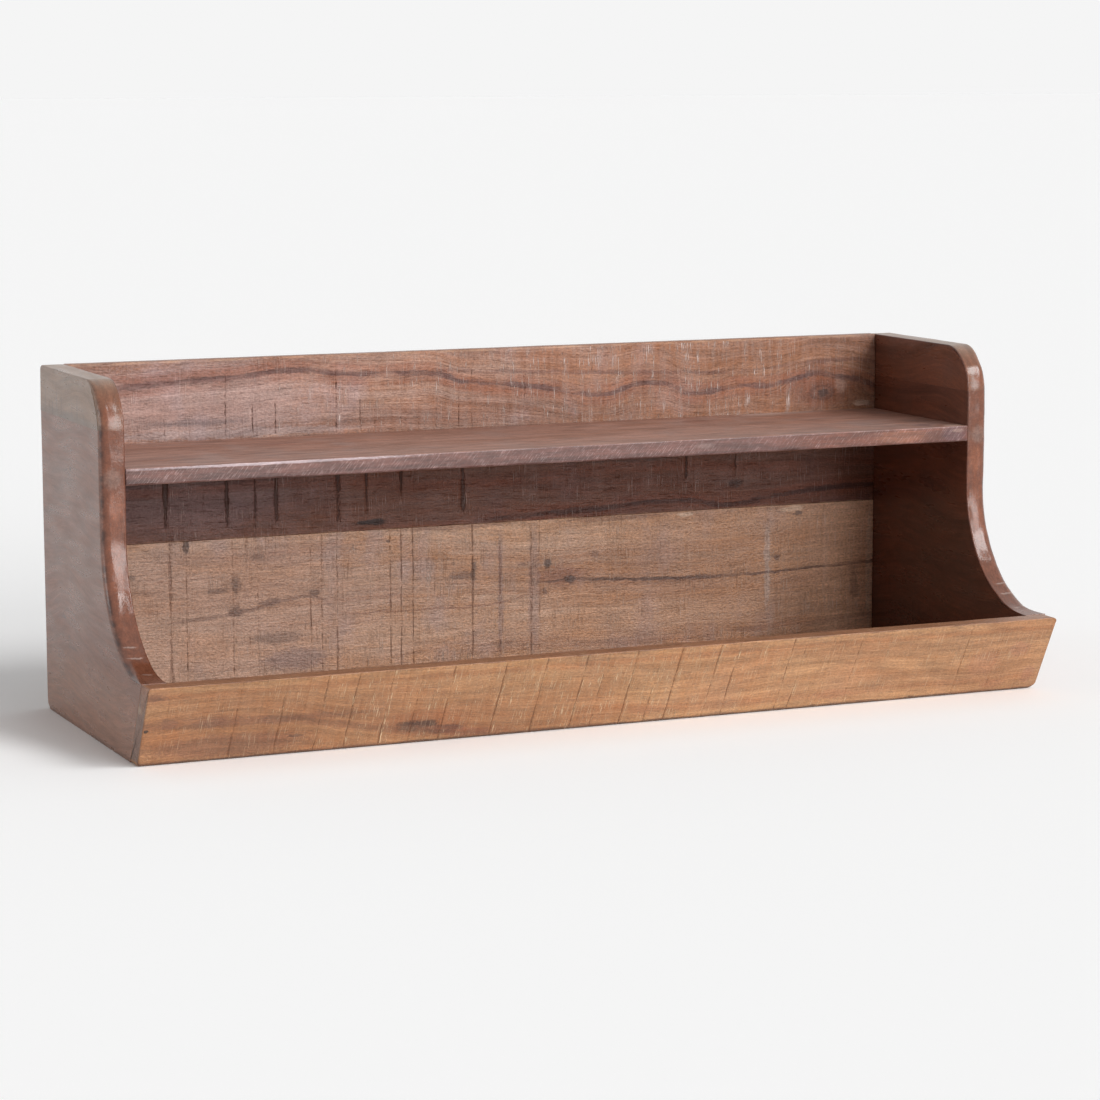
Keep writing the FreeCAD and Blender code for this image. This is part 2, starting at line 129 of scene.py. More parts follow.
def swell(first: np.ndarray, second: np.ndarray, length: float, seed: int) -> np.ndarray:
    """Gentle unevenness of a planed face: eight sine waves in random directions, averaged.

    Args:
        first, second: Coordinates on the face, in millimetres.
        length: The middle wavelength.
        seed: Which unevenness.

    Returns:
        Heights from about -1 to 1.
    """
    rng = np.random.default_rng(seed)
    total = np.zeros(np.broadcast(first, second).shape)
    for turn, phase, stretch in zip(*rng.uniform(0, 1, (3, WAVES))):
        wave = 2 * np.pi / (length * (0.6 + stretch))
        heading = np.pi * turn
        total += np.sin(wave * (np.cos(heading) * first + np.sin(heading) * second) + 2 * np.pi * phase)
    return np.clip(2 * total / WAVES, -1, 1)


def flowing(points: tuple[tuple[float, float], ...], place: np.ndarray) -> np.ndarray:
    """A smooth line through a few points: a cubic between each two, level with its neighbours' slope.

    Args:
        points: Pairs of place and height, in order.
        place: Where to read the line.

    Returns:
        The heights there.
    """
    spots, heights = np.array(points, float).T
    slopes = np.gradient(heights, spots)
    held = np.clip(place, spots[0], spots[-1])
    low = np.clip(np.searchsorted(spots, held) - 1, 0, len(spots) - 2)
    width = spots[low + 1] - spots[low]
    t = (held - spots[low]) / width
    return (
        heights[low] * (1 + 2 * t) * (1 - t) ** 2
        + slopes[low] * width * t * (1 - t) ** 2
        + heights[low + 1] * t**2 * (3 - 2 * t)
        + slopes[low + 1] * width * t**2 * (t - 1)
    )


def quarter(steps: int) -> np.ndarray:
    """Angles from 0 to a right angle, in equal steps."""
    return np.linspace(0, np.pi / 2, steps + 1)


def inside(count: int, margin: float) -> np.ndarray:
    """Even shares of a way, without its ends but with a margin off each."""
    return np.concatenate([[margin], np.linspace(0, 1, count + 2)[1:-1], [1 - margin]])


def joined(*columns: object) -> np.ndarray:
    """Put coordinates side by side as points, with a plain number repeated as needed."""
    return np.stack(np.broadcast_arrays(*columns), -1)


def distances(outline: np.ndarray) -> np.ndarray:
    """How far along an outline each of its points is."""
    return np.concatenate([[0], np.cumsum(np.linalg.norm(np.diff(outline, axis=0), axis=1))])


class Skin:
    """A closed surface: rings of points in order along a path, with a fan over the first and the last."""

    def __init__(self, rings: np.ndarray) -> None:
        """Keep the rings.

        Args:
            rings: Points in millimetres, of shape (rings, points of a ring, 3).
        """
        self.rings = rings
        self.marks: dict[str, np.ndarray] = {}

    def mark(self, name: str, values: np.ndarray) -> None:
        """Give every point a value or a vector, for the finish to read."""
        shape = self.rings.shape[:2] + values.shape[2:]
        self.marks[name] = np.broadcast_to(values, shape)

    def closed(self, values: np.ndarray) -> np.ndarray:
        """Put the values of the two fans' middles, the means of their rings, after those of the rings."""
        flat = values.reshape(-1, *values.shape[2:])
        ends = np.stack([values[0].mean(0), values[-1].mean(0)])
        return np.concatenate([flat, ends])

    def corners(self) -> tuple[np.ndarray, np.ndarray]:
        """Number the corners of the faces.

        Returns:
            The four-cornered faces between the rings and the three-cornered ones of the fans.
        """
        count, size = self.rings.shape[:2]
        number = np.arange(count * size).reshape(count, size)
        after = np.roll(number, -1, axis=1)
        quads = np.stack([number[:-1], after[:-1], after[1:], number[1:]], -1).reshape(-1, 4)
        first, last = np.full(size, count * size), np.full(size, count * size + 1)
        fans = np.concatenate(
            [np.stack([after[0], number[0], first], -1), np.stack([number[-1], after[-1], last], -1)]
        )
        return quads, fans

    def piece(self, name: str) -> bpy.types.Object:
        """Write the surface as a Blender object with its faces outwards.

        Args:
            name: The object's name.

        Returns:
            The object, linked to the scene, at the origin.
        """
        points = self.closed(self.rings) * MM
        quads, fans = self.corners()
        halves = np.concatenate([quads[:, :3], quads[:, [0, 2, 3]], fans])
        first, second, third = points[halves].transpose(1, 0, 2)
        if np.einsum("ij,ij->", first, np.cross(second, third)) < 0:
            quads, fans = quads[:, ::-1], fans[:, ::-1]
        mesh = bpy.data.meshes.new(name)
        mesh.vertices.add(len(points))
        mesh.vertices.foreach_set("co", points.ravel())
        totals = np.concatenate([np.full(len(quads), 4), np.full(len(fans), 3)])
        mesh.loops.add(int(totals.sum()))
        mesh.loops.foreach_set("vertex_index", np.concatenate([quads.ravel(), fans.ravel()]))
        mesh.polygons.add(len(totals))
        mesh.polygons.foreach_set("loop_start", np.concatenate([[0], np.cumsum(totals)[:-1]]))
        mesh.polygons.foreach_set("loop_total", totals)
        mesh.polygons.foreach_set("use_smooth", totals == 4)
        for mark, values in self.marks.items():
            kind, key = ("FLOAT_VECTOR", "vector") if values.ndim == 3 else ("FLOAT", "value")
            layer = mesh.attributes.new(mark, kind, "POINT")
            layer.data.foreach_set(key, self.closed(values).ravel())
        mesh.update(calc_edges=True)
        mesh.validate()
        thing = bpy.data.objects.new(name, mesh)
        bpy.context.scene.collection.objects.link(thing)
        return thing


# The marks that finishes read.
BOARD = "board"
FLOW = "flow"
CUT = "cut"
TORN = "torn"
ARRIS = "arris"
FRONT = "front"
OUTER = "outer"
STROKE = "stroke"
EDGE = "edge"
STREAK = "streak_{}"


@dataclass(frozen=True)
class Cut:
    """One stroke of the saw across a board: where, how wide and deep, how torn, and between which heights."""

    along: float
    width: float
    depth: float = 0.5
    torn: float = 0.5
    low: float = -1000
    high: float = 1000


@dataclass(frozen=True)
class Streak:
    """A dark vein that runs along a board through a few points (along, across), with its half width."""

    points: tuple[tuple[float, float], ...]
    width: float
    tone: Colour
    strength: float = 0.8


@dataclass(frozen=True)
class Blotch:
    """A knot, stain, patch, or a patch of painted light or shade, by its middle and half sizes along and
    across the board and its softness.
    """

    along: float
    across: float
    length: float
    height: float
    tone: Colour
    strength: float = 0.7
    soft: float = 0.5


class Wiring:
    """Adds shader nodes to one tree and joins them up."""

    def __init__(self, tree: Tree) -> None:
        """Work on a tree."""
        self.tree = tree

    def add(self, kind: str, inputs: dict | None = None, **settings: object) -> bpy.types.Node:
        """Add a node.

        Args:
            kind: The node's type, without its leading ShaderNode.
            inputs: What goes into its sockets, by name or number: other sockets or plain values.
            settings: Its properties.

        Returns:
            The node.
        """
        node = self.tree.nodes.new("ShaderNode" + kind)
        for name, value in settings.items():
            setattr(node, name, value)
        for key, value in (inputs or {}).items():
            socket = node.inputs[key]
            if isinstance(value, Socket):
                self.tree.links.new(value, socket)
            else:
                socket.default_value = value
        return node

    def maths(self, operation: str, *values: object) -> Socket:
        """Work out one sum on numbers."""
        return self.add("Math", dict(enumerate(values)), operation=operation).outputs[0]

    def vectors(self, operation: str, *values: object) -> Socket:
        """Work out one sum on vectors."""
        node = self.add("VectorMath", dict(enumerate(values)), operation=operation)
        return node.outputs["Value" if operation in ("LENGTH", "DISTANCE") else "Vector"]

    def spread(self, value: object, low: object, high: object, start: float = 0, end: float = 1) -> Socket:
        """Carry a value smoothly from one range to another, held at its ends."""
        ranges = {"Value": value, "From Min": low, "From Max": high, "To Min": start, "To Max": end}
        return self.add("MapRange", ranges, interpolation_type="SMOOTHSTEP").outputs[0]

    def blend(self, share: object, first: object, second: object, way: str = "MIX") -> Socket:
        """Mix two colours by a share."""
        node = self.add("Mix", {0: share, 6: first, 7: second}, data_type="RGBA", blend_type=way)
        return node.outputs[2]

    def lay(self, colour: Socket, mask: Socket, share: float, tone: Colour) -> Socket:
        """Lay a share of a tone over a colour where a mask lets it."""
        return self.blend(self.maths("MULTIPLY", mask, share), colour, tone)

    def noise(self, place: object, sizes: tuple[float, float, float], detail: float = 2) -> Socket:
        """Read a cloud whose lumps have the given sizes in millimetres along, across and into the board."""
        scaled = self.vectors("DIVIDE", place, sizes)
        settings = {"Vector": scaled, "Scale": 1.0, "Detail": detail, "Roughness": 0.55}
        return self.add("TexNoise", settings).outputs[0]

    def marked(self, name: str, output: str = "Fac") -> Socket:
        """Read a mark of the piece."""
        return self.add("Attribute", attribute_name=name).outputs[output]

    def group(self, tree: Tree, **inputs: object) -> Outputs:
        """Place a shared effect.

        Args:
            tree: The effect.
            inputs: Its inputs, by name.

        Returns:
            Its outputs.
        """
        return self.add("Group", inputs, node_tree=tree).outputs

    def surface(self, inputs: dict, height: Socket, strength: float, depth: float) -> None:
        """Put out a surface with relief.

        Args:
            inputs: What goes into its shader.
            height: The relief.
            strength: How much of the relief shows.
            depth: What a height of one stands for, in metres.
        """
        bump = self.add("Bump", {"Strength": strength, "Distance": depth, "Height": height})
        shader = self.add("BsdfPrincipled", {**inputs, "Normal": bump.outputs[0]})
        self.add("OutputMaterial", {"Surface": shader.outputs[0]})


def blank(name: str) -> tuple[Material, Wiring]:
    """Start a material without nodes, and its wiring."""
    material = bpy.data.materials.new(name)
    material.use_nodes = True
    material.node_tree.nodes.clear()
    return material, Wiring(material.node_tree)


def effect(name: str, inputs: dict[str, str], outputs: dict[str, str]) -> tuple[Wiring, dict, bpy.types.Node]:
    """Start a shared effect.

    Args:
        name: Its name.
        inputs: Its inputs' kinds by name: Float, Vector or Color.
        outputs: Its outputs' kinds by name.

    Returns:
        Its wiring, its inputs' sockets by name, and the node that takes its outputs.
    """
    tree = bpy.data.node_groups.new(name, "ShaderNodeTree")
    for way, sockets in (("INPUT", inputs), ("OUTPUT", outputs)):
        for socket, kind in sockets.items():
            tree.interface.new_socket(socket, in_out=way, socket_type="NodeSocket" + kind)
    source = tree.nodes.new("NodeGroupInput")
    given = {socket: source.outputs[socket] for socket in inputs}
    return Wiring(tree), given, tree.nodes.new("NodeGroupOutput")


def finish_effect(wiring: Wiring, sink: bpy.types.Node, results: dict[str, Socket]) -> Tree:
    """Join an effect's results to its outputs and return its tree."""
    for name, socket in results.items():
        wiring.tree.links.new(socket, sink.inputs[name])
    return wiring.tree


def grain_effect() -> Tree:
    """Growth lines, fibres and pores of a board, drawn out along its grain and swaying across it.

    Returns:
        The effect. Board is the place in the wood and Flow bends its lines. Tone is the broad colour, Growth
        the lines of the years, Figure their flames, Fibre the fine threads, Pore the short open vessels, and
        Warm and Cool are broad patches.
    """
    inputs = {"Board": "Vector", "Flow": "Float", "Lines": "Float", "Sway": "Float", "Seed": "Float"}
    outputs = dict.fromkeys(("Tone", "Growth", "Figure", "Fibre", "Pore", "Warm", "Cool"), "Float")
    wiring, given, sink = effect("wood_grain", inputs, outputs)
    offset = wiring.add("CombineXYZ", {0: given["Seed"], 1: given["Flow"], 2: given["Seed"]}).outputs[0]
    bent = wiring.vectors("ADD", given["Board"], offset)
    sway = wiring.maths("SUBTRACT", wiring.noise(bent, (260, 60, 40)), 0.5)
    shift = wiring.add("CombineXYZ", {1: wiring.maths("MULTIPLY", sway, given["Sway"])}).outputs[0]
    place = wiring.vectors("ADD", bent, shift)
    lines = wiring.add("CombineXYZ", {0: 500.0, 1: given["Lines"], 2: given["Lines"]}).outputs[0]
    growth = wiring.noise(place, lines, 3)
    moved = wiring.vectors("ADD", place, (700.0, 300.0, 0.0))
    return finish_effect(
        wiring,
        sink,
        {
            "Tone": wiring.spread(wiring.noise(place, (330, 30, 30), 4), 0.3, 0.7),
            "Growth": wiring.spread(growth, 0.36, 0.66),
            "Figure": wiring.noise(moved, (32, 4, 4), 4),
            "Fibre": wiring.noise(place, (45, 0.9, 0.9), 3),
            "Pore": wiring.spread(wiring.noise(place, (11, 0.8, 0.8), 1), 0.62, 0.74),
            "Warm": wiring.spread(wiring.noise(moved, (95, 22, 22), 4), 0.42, 0.66),
            "Cool": wiring.spread(wiring.noise(moved, (40, 60, 40), 4), 0.5, 0.7),
        },
    )


def gritty(wiring: Wiring, mask: Socket, grit: Socket, share: float) -> Socket:
    """Break up a soft mask's rim with grit, and leave its middle whole."""
    push = wiring.maths("MULTIPLY", wiring.maths("SUBTRACT", grit, 0.5), share)
    return wiring.spread(wiring.maths("ADD", mask, push), 0.25, 0.9)


def blotch_effect() -> Tree:
    """A soft oval: one inside its half sizes, falling to nothing over its softness.

    Returns:
        The effect. Place is a ragged place on the board, and Grit breaks up the oval's rim.
    """
    inputs = {"Place": "Vector", "Middle": "Vector", "Half": "Vector", "Soft": "Float", "Grit": "Float"}
    wiring, given, sink = effect("blotch", inputs, {"Mask": "Float"})
    off = wiring.vectors("SUBTRACT", given["Place"], given["Middle"])
    away = wiring.vectors("DIVIDE", off, given["Half"])
    inner = wiring.maths("SUBTRACT", 1.0, given["Soft"])
    outer = wiring.maths("ADD", 1.0, given["Soft"])
    mask = wiring.spread(wiring.vectors("LENGTH", away), inner, outer, 1, 0)
    return finish_effect(wiring, sink, {"Mask": gritty(wiring, mask, given["Grit"], 1.3)})


def vein_effect() -> Tree:
    """A ragged vein: strongest where the place across the board meets the marked line.

    Returns:
        The effect.
    """
    inputs = {"Across": "Float", "Line": "Float", "Half": "Float", "Grit": "Float"}
    wiring, given, sink = effect("vein", inputs, {"Mask": "Float"})
    away = wiring.maths("ABSOLUTE", wiring.maths("SUBTRACT", given["Across"], given["Line"]))
    mask = wiring.spread(wiring.maths("DIVIDE", away, given["Half"]), 0.15, 1.5, 1, 0)
    return finish_effect(wiring, sink, {"Mask": gritty(wiring, mask, given["Grit"], 1.3)})


def saw_effect() -> Tree:
    """Marks of the saw: ragged grooves, pale torn dashes in hazy bands, fine lines and pimples.

    Returns:
        The effect. Place is measured along the saw's strokes, Cut and Torn are the marks of the piece, and
        Hatch is the strength of the fine lines between the cuts.
    """
    inputs = {"Place": "Vector", "Cut": "Float", "Torn": "Float", "Hatch": "Float"}
    outputs = dict.fromkeys(("Groove", "Fleck", "Haze", "Line", "Relief"), "Float")
    wiring, given, sink = effect("saw_marks", inputs, outputs)
    place = given["Place"]
    cluster = wiring.spread(wiring.noise(place, (6, 60, 60), 3), 0.36, 0.62, 0.2, 1)
    torn = wiring.maths("MULTIPLY", given["Torn"], cluster)
    bar = wiring.maths("SUBTRACT", 0.78, wiring.maths("MULTIPLY", torn, 0.32))
    dash = wiring.spread(wiring.noise(place, (0.7, 14, 14), 2), bar, wiring.maths("ADD", bar, 0.1))
    patch = wiring.spread(wiring.noise(place, (34, 30, 30), 2), 0.42, 0.6)
    hatched = wiring.maths("MULTIPLY", patch, given["Hatch"])
    fine = wiring.spread(wiring.noise(place, (0.9, 30, 30), 2), 0.56, 0.72)
    moved = wiring.vectors("ADD", place, (317.0, 90.0, 0.0))
    scratch = wiring.spread(wiring.noise(moved, (1.0, 20, 20), 2), 0.57, 0.68)
    ragged = wiring.maths("SUBTRACT", wiring.noise(place, (1.4, 5, 5), 3), 0.5)
    return finish_effect(
        wiring,
        sink,
        {
            "Groove": wiring.spread(wiring.maths("ADD", given["Cut"], ragged), 0.3, 0.6),
            "Fleck": wiring.maths("MAXIMUM", dash, wiring.maths("MULTIPLY", scratch, hatched)),
            "Haze": torn,
            "Line": wiring.maths("MULTIPLY", fine, hatched),
            "Relief": wiring.noise(place, (2.6, 1.6, 1.6), 3),
        },
    )


def wear_and_shade_effect() -> Tree:
    """Wear along the arrises, patchy along their length; on the end panels it lays painted shade.

    Returns:
        The effect. Arris is the mark of the piece.
    """
    wiring, given, sink = effect("edge_wear_and_shade", {"Board": "Vector", "Arris": "Float"}, {"Mask": "Float"})
    patch = wiring.spread(wiring.noise(given["Board"], (28, 9, 9), 4), 0.38, 0.66)
    return finish_effect(wiring, sink, {"Mask": wiring.maths("MULTIPLY", given["Arris"], patch)})


@dataclass
class Effects:
    """The shared effects, each built once."""

    grain: Tree = field(default_factory=grain_effect)
    blotch: Tree = field(default_factory=blotch_effect)
    vein: Tree = field(default_factory=vein_effect)
    saw: Tree = field(default_factory=saw_effect)
    wear: Tree = field(default_factory=wear_and_shade_effect)


# A cloud with lumps as deep as this, in millimetres, looks the same right through a board.
THROUGH = 1000
# How ragged the rims of blotches are on the outer face and on the front edge, next to those on the show face.
OUTER_RIM = 0.35
EDGE_RIM = 0.2
# How dark the fine lines of the saw are, the slant of the front edge's hatching, and the relief's depth.
LINE_SHARE = 0.4
EDGE_SLANT = math.radians(50)
WOOD_RELIEF = 0.5 * MM
# A vein fades from this far within its ends to this far beyond them, in millimetres.
VEIN_WITHIN = 25
VEIN_BEYOND = 10


@dataclass(frozen=True)
class WoodFinish:
    """A waxed wood: its colours, figure, gloss and saw marks, and the veins, stains and painted light and
    shade of one board.
    """

    name: str
    dark: Colour
    body: Colour
    pale: Colour
    seed: float
    lines: float = 7
    sway: float = 30
    growth: float = 0.25
    thread: float = 0.12
    figure: float = 0.12
    warm: Colour = tint(150, 92, 56)
    warm_share: float = 0.0
    cool: Colour = tint(140, 118, 114)
    cool_share: float = 0.0
    roughness: tuple[float, float] = (0.42, 0.6)
    hatch: float = 0.0
    outer_hatch: float = 0.0
    torn_tone: Colour = tint(205, 180, 165)
    torn_share: float = 0.6
    haze_share: float = 0.0
    groove_tone: Colour = tint(60, 38, 30)
    groove_share: float = 0.5
    pore: float = 0.35
    wear_and_shade_tone: Colour = tint(190, 150, 120)
    wear_and_shade_share: float = 0.5
    front_tone: Colour = tint(140, 96, 74)
    front_share: float = 0.5
    front_gloss: float = 0.0
    outer_tone: Colour = tint(130, 104, 94)
    outer_share: float = 0.0
    edge_hatch: float = 0.0
    relief: float = 0.3
    ior: float = 1.48
    pimple: float = 0.0
    # How far the colour lightens and darkens with the relief: painted light and shade.
    painted_relief_shade: float = 0.1
    streaks: tuple[Streak, ...] = ()
    blotches: tuple[Blotch, ...] = ()
    edge_blotches: tuple[Blotch, ...] = ()
    outer_blotches: tuple[Blotch, ...] = ()

    def material(self, effects: Effects) -> Material:
        """Build the finish.

        Args:
            effects: The shared effects.

        Returns:
            The material.
        """
        material, wiring = blank(self.name)
        board = wiring.marked(BOARD, "Vector")
        grain = wiring.group(
            effects.grain,
            Board=board,
            Flow=wiring.marked(FLOW),
            Lines=self.lines,
            Sway=self.sway,
            Seed=self.seed,
        )
        _, across, into = wiring.add("SeparateXYZ", {0: board}).outputs
        saw = wiring.group(
            effects.saw,
            Place=wiring.add("CombineXYZ", {0: wiring.marked(STROKE), 1: across, 2: into}).outputs[0],
            Cut=wiring.marked(CUT),
            Torn=wiring.marked(TORN),
            Hatch=wiring.maths("MULTIPLY_ADD", wiring.marked(OUTER), self.outer_hatch, self.hatch),
        )
        colour = self.grown(wiring, grain)
        colour = self.blotched(wiring, effects, board, colour, self.blotches)
        colour = self.veined(wiring, effects, board, colour)
        colour = self.edged(wiring, effects, board, colour)
        colour = self.worked(wiring, grain, saw, colour)
        # Along the arrises: wear, and on the end panels painted shade where the outer round turns from the
        # light.
        wear = wiring.group(effects.wear, Board=board, Arris=wiring.marked(ARRIS))["Mask"]
        colour = wiring.lay(colour, wear, self.wear_and_shade_share, self.wear_and_shade_tone)
        height = wiring.maths("MULTIPLY", grain["Fibre"], 0.5)
        height = wiring.maths("SUBTRACT", height, wiring.maths("MULTIPLY", grain["Pore"], 0.4))
        height = wiring.maths("ADD", height, wiring.maths("MULTIPLY", saw["Relief"], self.pimple))
        height = wiring.maths("ADD", height, saw["Fleck"])
        height = wiring.maths("SUBTRACT", height, wiring.maths("ADD", saw["Line"], saw["Groove"]))
        gloss = wiring.spread(wiring.noise(board, (60, 14, 14), 3), 0.3, 0.7, *self.roughness)
        gloss = wiring.maths("ADD", gloss, wiring.maths("MULTIPLY", saw["Fleck"], 0.1))
        polish = wiring.maths("MULTIPLY", wiring.marked(FRONT), self.front_gloss)
        gloss = wiring.maths("SUBTRACT", gloss, polish)
        inputs = {"Base Color": colour, "Roughness": gloss, "IOR": self.ior}
        wiring.surface(inputs, height, self.relief, WOOD_RELIEF)
        return material

    def grown(self, wiring: Wiring, grain: Outputs) -> Socket:
        """Colour the plain wood: its broad tone, growth lines, patches and pale fibres, which are partly
        painted glints.
        """
        colour = wiring.blend(grain["Tone"], self.dark, self.body)
        colour = wiring.lay(colour, grain["Growth"], self.growth, self.pale)
        colour = wiring.lay(colour, grain["Warm"], self.warm_share, self.warm)
        colour = wiring.lay(colour, grain["Cool"], self.cool_share, self.cool)
        # Pale threads along the fibres: pale fibres and painted glints.
        return wiring.blend(wiring.spread(grain["Fibre"], 0.58, 0.74, 0, 0.3), colour, self.pale)

    def edged(self, wiring: Wiring, effects: Effects, board: Socket, colour: Socket) -> Socket:
        """Tone the outer face and the front edge, lay their stains and painted light, and hatch the edge
        aslant.

        Args:
            wiring: The finish's wiring.
            effects: The shared effects.
            board: The place in the wood.
            colour: The colour so far.

        Returns:
            The colour with both.
        """
        outer, front = wiring.marked(OUTER), wiring.marked(FRONT)
        edge = wiring.marked(EDGE, "Vector")
        colour = wiring.lay(colour, outer, self.outer_share, self.outer_tone)
        if self.outer_blotches:
            blotched = self.blotched(wiring, effects, board, colour, self.outer_blotches, OUTER_RIM)
            colour = wiring.blend(outer, colour, blotched)
        colour = wiring.lay(colour, front, self.front_share, self.front_tone)
        if self.edge_blotches:
            blotched = self.blotched(wiring, effects, edge, colour, self.edge_blotches, EDGE_RIM)
            colour = wiring.blend(front, colour, blotched)
        if self.edge_hatch:
            slanted = wiring.add("Mapping", {"Vector": edge, "Rotation": (0, 0, EDGE_SLANT)}).outputs[0]
            lines = wiring.noise(slanted, (9, 0.8, THROUGH), 3)
            hatched = wiring.maths("MULTIPLY", wiring.spread(lines, 0.5, 0.72, 0, self.edge_hatch), front)
            colour = wiring.blend(hatched, colour, self.wear_and_shade_tone)
        return colour

    def worked(self, wiring: Wiring, grain: Outputs, saw: Outputs, colour: Socket) -> Socket:
        """Lay the fibres, the pores, painted light and shade over the relief, and the marks of the saw, with
        painted shade in their grooves, over a colour.

        Args:
            wiring: The finish's wiring.
            grain, saw: What the two effects put out.
            colour: The colour so far.

        Returns:
            The colour of the sawn wood.
        """
        thread = wiring.spread(grain["Fibre"], 0.25, 0.75, 1 - self.thread, 1 + self.thread)
        flame = wiring.spread(grain["Figure"], 0.3, 0.7, 1 - self.figure, 1 + self.figure)
        colour = wiring.blend(1.0, colour, wiring.maths("MULTIPLY", thread, flame), "MULTIPLY")
        colour = wiring.lay(colour, grain["Pore"], self.pore, self.groove_tone)
        # Painted light and shade of the relief: the colour rises and falls with the relief's height.
        painted_relief_shading = wiring.spread(saw["Relief"], 0.3, 0.7, 1 - self.painted_relief_shade, 1 + self.painted_relief_shade)
        colour = wiring.blend(1.0, colour, painted_relief_shading, "MULTIPLY")
        colour = wiring.lay(colour, saw["Haze"], self.haze_share, self.torn_tone)
        colour = wiring.lay(colour, saw["Line"], LINE_SHARE, self.groove_tone)
        # Dirt with painted shade, darkening the saw grooves.
        colour = wiring.lay(colour, saw["Groove"], self.groove_share, self.groove_tone)
        return wiring.lay(colour, saw["Fleck"], self.torn_share, self.torn_tone)

    def veined(self, wiring: Wiring, effects: Effects, board: Socket, colour: Socket) -> Socket:
        """Lay the veins of the board over its figure, ragged and fading in and out.

        Args:
            wiring: The finish's wiring.
            effects: The shared effects.
            board: The place in the wood.
            colour: The figure's colour.

        Returns:
            The veined colour.
        """
        if not self.streaks:
            return colour
        ragged = wiring.maths("SUBTRACT", wiring.noise(board, (22, 5, THROUGH), 4), 0.5)
        along, across, _ = wiring.add("SeparateXYZ", {0: board}).outputs
        across = wiring.maths("ADD", across, wiring.maths("MULTIPLY", ragged, 6.0))
        fade = wiring.spread(wiring.noise(board, (48, 16, THROUGH), 3), 0.32, 0.58, 0.3, 1)
        grit = wiring.noise(board, (7, 0.9, THROUGH), 3)
        for number, streak in enumerate(self.streaks):
            line = wiring.marked(STREAK.format(number))
            vein = wiring.group(effects.vein, Across=across, Line=line, Half=streak.width, Grit=grit)["Mask"]
            start, stop = streak.points[0][0], streak.points[-1][0]
            rising = wiring.spread(along, start - VEIN_BEYOND, start + VEIN_WITHIN)
            falling = wiring.spread(along, stop - VEIN_WITHIN, stop + VEIN_BEYOND, 1, 0)
            tapered = wiring.maths("MULTIPLY", vein, wiring.maths("MULTIPLY", rising, falling))
            colour = wiring.lay(colour, wiring.maths("MULTIPLY", tapered, fade), streak.strength, streak.tone)
        return colour

    def blotched(
        self,
        wiring: Wiring,
        effects: Effects,
        spot: Socket,
        colour: Socket,
        blotches: tuple[Blotch, ...],
        rim: float = 1.0,
    ) -> Socket:
        """Lay blotches with ragged rims over a colour.

        Args:
            wiring: The finish's wiring.
            effects: The shared effects.
            spot: The place along and across the face.
            colour: The colour so far.
            blotches: What to lay, in order.
            rim: How ragged their rims are.

        Returns:
            The stained colour.
        """
        if not blotches:
            return colour
        along, across, _ = wiring.add("SeparateXYZ", {0: spot}).outputs
        beside = wiring.maths("SUBTRACT", wiring.noise(spot, (6, 8, THROUGH), 4), 0.5)
        above = wiring.maths("SUBTRACT", wiring.noise(spot, (14, 5, THROUGH), 4), 0.5)
        beside = wiring.maths("MULTIPLY_ADD", beside, 9.0 * rim, along)
        above = wiring.maths("MULTIPLY_ADD", above, 7.0 * rim, across)
        place = wiring.add("CombineXYZ", {0: beside, 1: above}).outputs[0]
        fibrous = wiring.noise(spot, (6, 0.9, THROUGH), 3)
        lumpy = wiring.noise(spot, (2.2, 2.2, THROUGH), 3)
        grit = wiring.maths("MULTIPLY", wiring.maths("ADD", fibrous, lumpy), 0.5)
        for blotch in blotches:
            oval = wiring.group(
                effects.blotch,
                Place=place,
                Middle=(blotch.along, blotch.across, 0),
                Half=(blotch.length, blotch.height, 1),
                Soft=blotch.soft,
                Grit=grit,
            )["Mask"]
            colour = wiring.lay(colour, oval, blotch.strength, blotch.tone)
        return colour


@dataclass(frozen=True)
class SteelFinish:
    """Blackened or dull steel, worn to bare metal in specks."""

    name: str
    tone: Colour
    bare: Colour
    roughness: float
    worn: float

    def material(self) -> Material:
        """Build the finish: a mottled coat over metal, with small rubbed specks."""
        material, wiring = blank(self.name)
        place = wiring.vectors("DIVIDE", wiring.add("TexCoord").outputs["Object"], (MM, MM, MM))
        mottle = wiring.noise(place, (3, 3, 3), 4)
        specks = wiring.spread(wiring.noise(place, (1.6, 1.6, 1.6), 3), 0.62, 0.72, 0, self.worn)
        brighter = tuple(1.5 * value for value in self.tone)
        colour = wiring.blend(wiring.spread(mottle, 0.3, 0.7), self.tone, brighter)
        colour = wiring.blend(specks, colour, self.bare)
        gloss = wiring.spread(mottle, 0.3, 0.7, self.roughness - 0.08, self.roughness + 0.1)
        inputs = {"Base Color": colour, "Roughness": gloss, "Metallic": 0.85}
        wiring.surface(inputs, mottle, 0.2, 0.2 * MM)
        return material


def mounted(piece: bpy.types.Object, node: str, material: Material) -> bpy.types.Object:
    """Put a new piece in a node's place: on its body, in its finish.

    Args:
        piece: The piece.
        node: The node that it stands for.
        material: The finish.

    Returns:
        The piece.
    """
    piece.data.materials.append(material)
    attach(piece, BODY)
    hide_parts(node)
    LOG.info("%s: %d faces for %s", piece.name, len(piece.data.polygons), node)
    return piece


